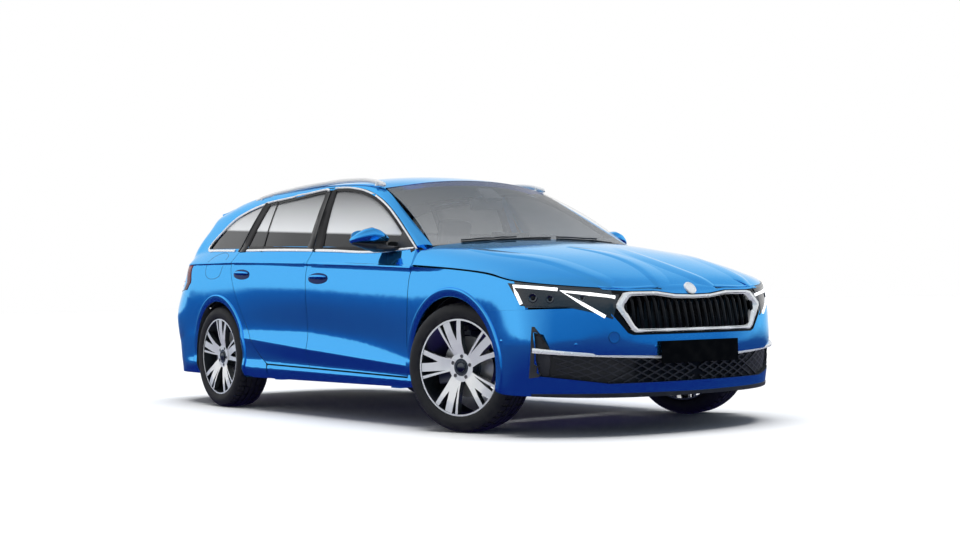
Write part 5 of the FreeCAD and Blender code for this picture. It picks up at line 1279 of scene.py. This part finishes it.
mirror_size, mirror_foot_size, housing_size = (
    (0.030, 0.235, 0.062), (0.060, 0.075, 0.028), (0.130, 0.120, 0.022))
display_size, instruments_size = (0.018, 0.262, 0.150), (0.060, 0.300, 0.050)
inner_mirror = merged([slab(mirror_size, (0.575, 0.0, 1.232), -12, 0.012),
                       slab(mirror_foot_size, (0.610, 0.0, 1.262), 30, 0.010),
                       slab(housing_size, (0.610, 0.0, 1.292), 31, 0.008)])
put(inner_mirror, "driving_mirror", cabin_plastic, "body")
put(slab(display_size, (0.795, 0.0, 0.985), 14, 0.006), "dash_display", gloss_black, "body")
put(slab(instruments_size, (0.800, 0.370, 0.975), 8, 0.020), "instrument_hood", cabin_plastic,
    "body")

# The front wipers: a black blade and arm each, parked along the foot of the screen just clear of
# the glass.
screen_ground = ground("windscreen")
wipers, wiper_steps, blade_clear, arm_above = [], 12, 0.010, 0.012
for first, last in ((-0.55, 0.02), (0.06, 0.60)):
    line = []
    for step in range(wiper_steps + 1):
        share = step / wiper_steps
        y = first + (last - first) * share
        spot = Vector((1.150 - 0.12 * y * y - 0.015 * share, y, 0.992))
        place, normal = screen_ground.find_nearest(spot)[:2]
        line.append(place + normal * (blade_clear if normal.z > 0 else -blade_clear))
    wipers.append(swept(line, [oval(0.007, 0.005, 10, 3)] * len(line)))
    arm_line = [point + upward * arm_above for point in line[:8]]
    wipers.append(swept(arm_line, [oval(0.008, 0.004, 10, 3)] * len(arm_line)))
put(merged(wipers), "screen_wipers", black_plastic, "body")

# The tail lamps' front ends: the same red lens, reaching forward round the corner and along the
# car's sides.
side_tail = ground("quarters", "tail_lamps", "rear_bumper")
tail_front = drawn(seen([(193.6, 265.2), (187.6, 267.6), (184.4, 273.5), (183.4, 282.5),
                         (182.6, 291.2)], side_tail), steps=3)
rows = []
for share in (0.0, 0.06, 0.35, 0.65, 0.94, 1.0):
    row = cast([(spot.x - 0.090 * share, 0, spot.z) for spot in tail_front], side_tail, from_right,
               inward)
    rows.append([spot - inward * (0.0 if share in (0.0, 1.0) else 0.004) for spot in row])
tail_lens = loft(rows)
bmesh.ops.solidify(tail_lens, geom=tail_lens.faces, thickness=0.002)
bmesh.ops.recalc_face_normals(tail_lens, faces=tail_lens.faces)
pair(tail_lens, "tail_lamp_front", red_lens, "body")

# The tailgate's pieces: a plain plate screwed into its recess and a plain round disc stuck on
# above it, both riding on the lid.
lid_ground = ground("tailgate", "rear_glass")
from_back, forward = Vector((-3.2, 0, 0)), Vector((1, 0, 0))
plate_place = cast([(0, 0, 0.735)], lid_ground, from_back, forward)[0] - forward * 0.006
put(slab((0.006, 0.520, 0.110), plate_place, -4, 0.0025), "rear_plate", plate_black, "lid")
spot = cast([(0, 0, 0.885)], lid_ground, from_back, forward)[0]
put(stood(turned(badge_profile, 40), spot, lid_ground.find_nearest(spot)[1]), "badge_disc_rear",
    chrome, "lid")

# The light lines of the tail lamps and the lid's lamps: glossy red bars that are moulded with the
# lenses, two on each side of the body and one on each side of the lid.
tail_glow = Finish("red_light_line")
line_red = tail_glow.set(
    Base_Color=tail_glow.blend(tail_glow.noise(0.01), (0.6, 0.02, 0.02, 1), (0.8, 0.04, 0.03, 1)),
    Roughness=0.2, Coat_Weight=1.0)
tail_ground = ground("tail_lamps", "lid_lamps")
tail_lines = {"body": [], "lid": []}
for body, spots in (("body", ((-0.78, 0.925), (-0.60, 0.915), (-0.60, 0.885), (-0.76, 0.895))),
                    ("body", ((-0.78, 0.805), (-0.64, 0.815), (-0.64, 0.845), (-0.80, 0.835))),
                    ("lid", ((-0.55, 0.912), (-0.36, 0.900), (-0.40, 0.870), (-0.55, 0.882)))):
    line = cast([(0, y, z) for y, z in spots], tail_ground, from_back, forward)
    tail_lines[body].append(moulding(drawn(line, steps=6, sharp=(1, 2)),
                                     flat_section(0.004, 0.004, 0.003), tail_ground))
pair(merged(tail_lines["body"]), "tail_light_lines", line_red, "body")
pair(merged(tail_lines["lid"]), "lid_light_lines", line_red, "lid")

# The rear bumper's pieces: a black moulded valance along its lower half and a red reflector at
# each end.
def tail_row(first, last, panels, steps):
    # Places across the tail between two spots, each given by its side place and height.
    spots = [(0, *(a + (b - a) * step / steps for a, b in zip(first, last)))
             for step in range(steps + 1)]
    return cast(spots, panels, from_back, forward)


tail_bumper = ground("rear_bumper")
valance = tail_row((-0.72, 0.262), (0.72, 0.262), tail_bumper, 30)
put(moulding(valance, flat_section(0.045, 0.043, 0.004), tail_bumper), "rear_valance",
    black_plastic, "body")
reflector = tail_row((-0.73, 0.36), (-0.59, 0.36), tail_bumper, 7)
pair(moulding(reflector, flat_section(0.011, 0.010, 0.004), tail_bumper), "rear_reflector",
     red_lens, "body")

# The rear wiper: one black blade on the tailgate's window, parked across its foot and rising a
# little towards its free end.
rear_wiper = tail_row((0.02, 1.040), (-0.33, 1.080), lid_ground, 10)
put(swept([point - forward * 0.012 for point in rear_wiper],
          [oval(0.007, 0.006, 10, 3)] * len(rear_wiper)), "rear_wiper", black_plastic, "lid")
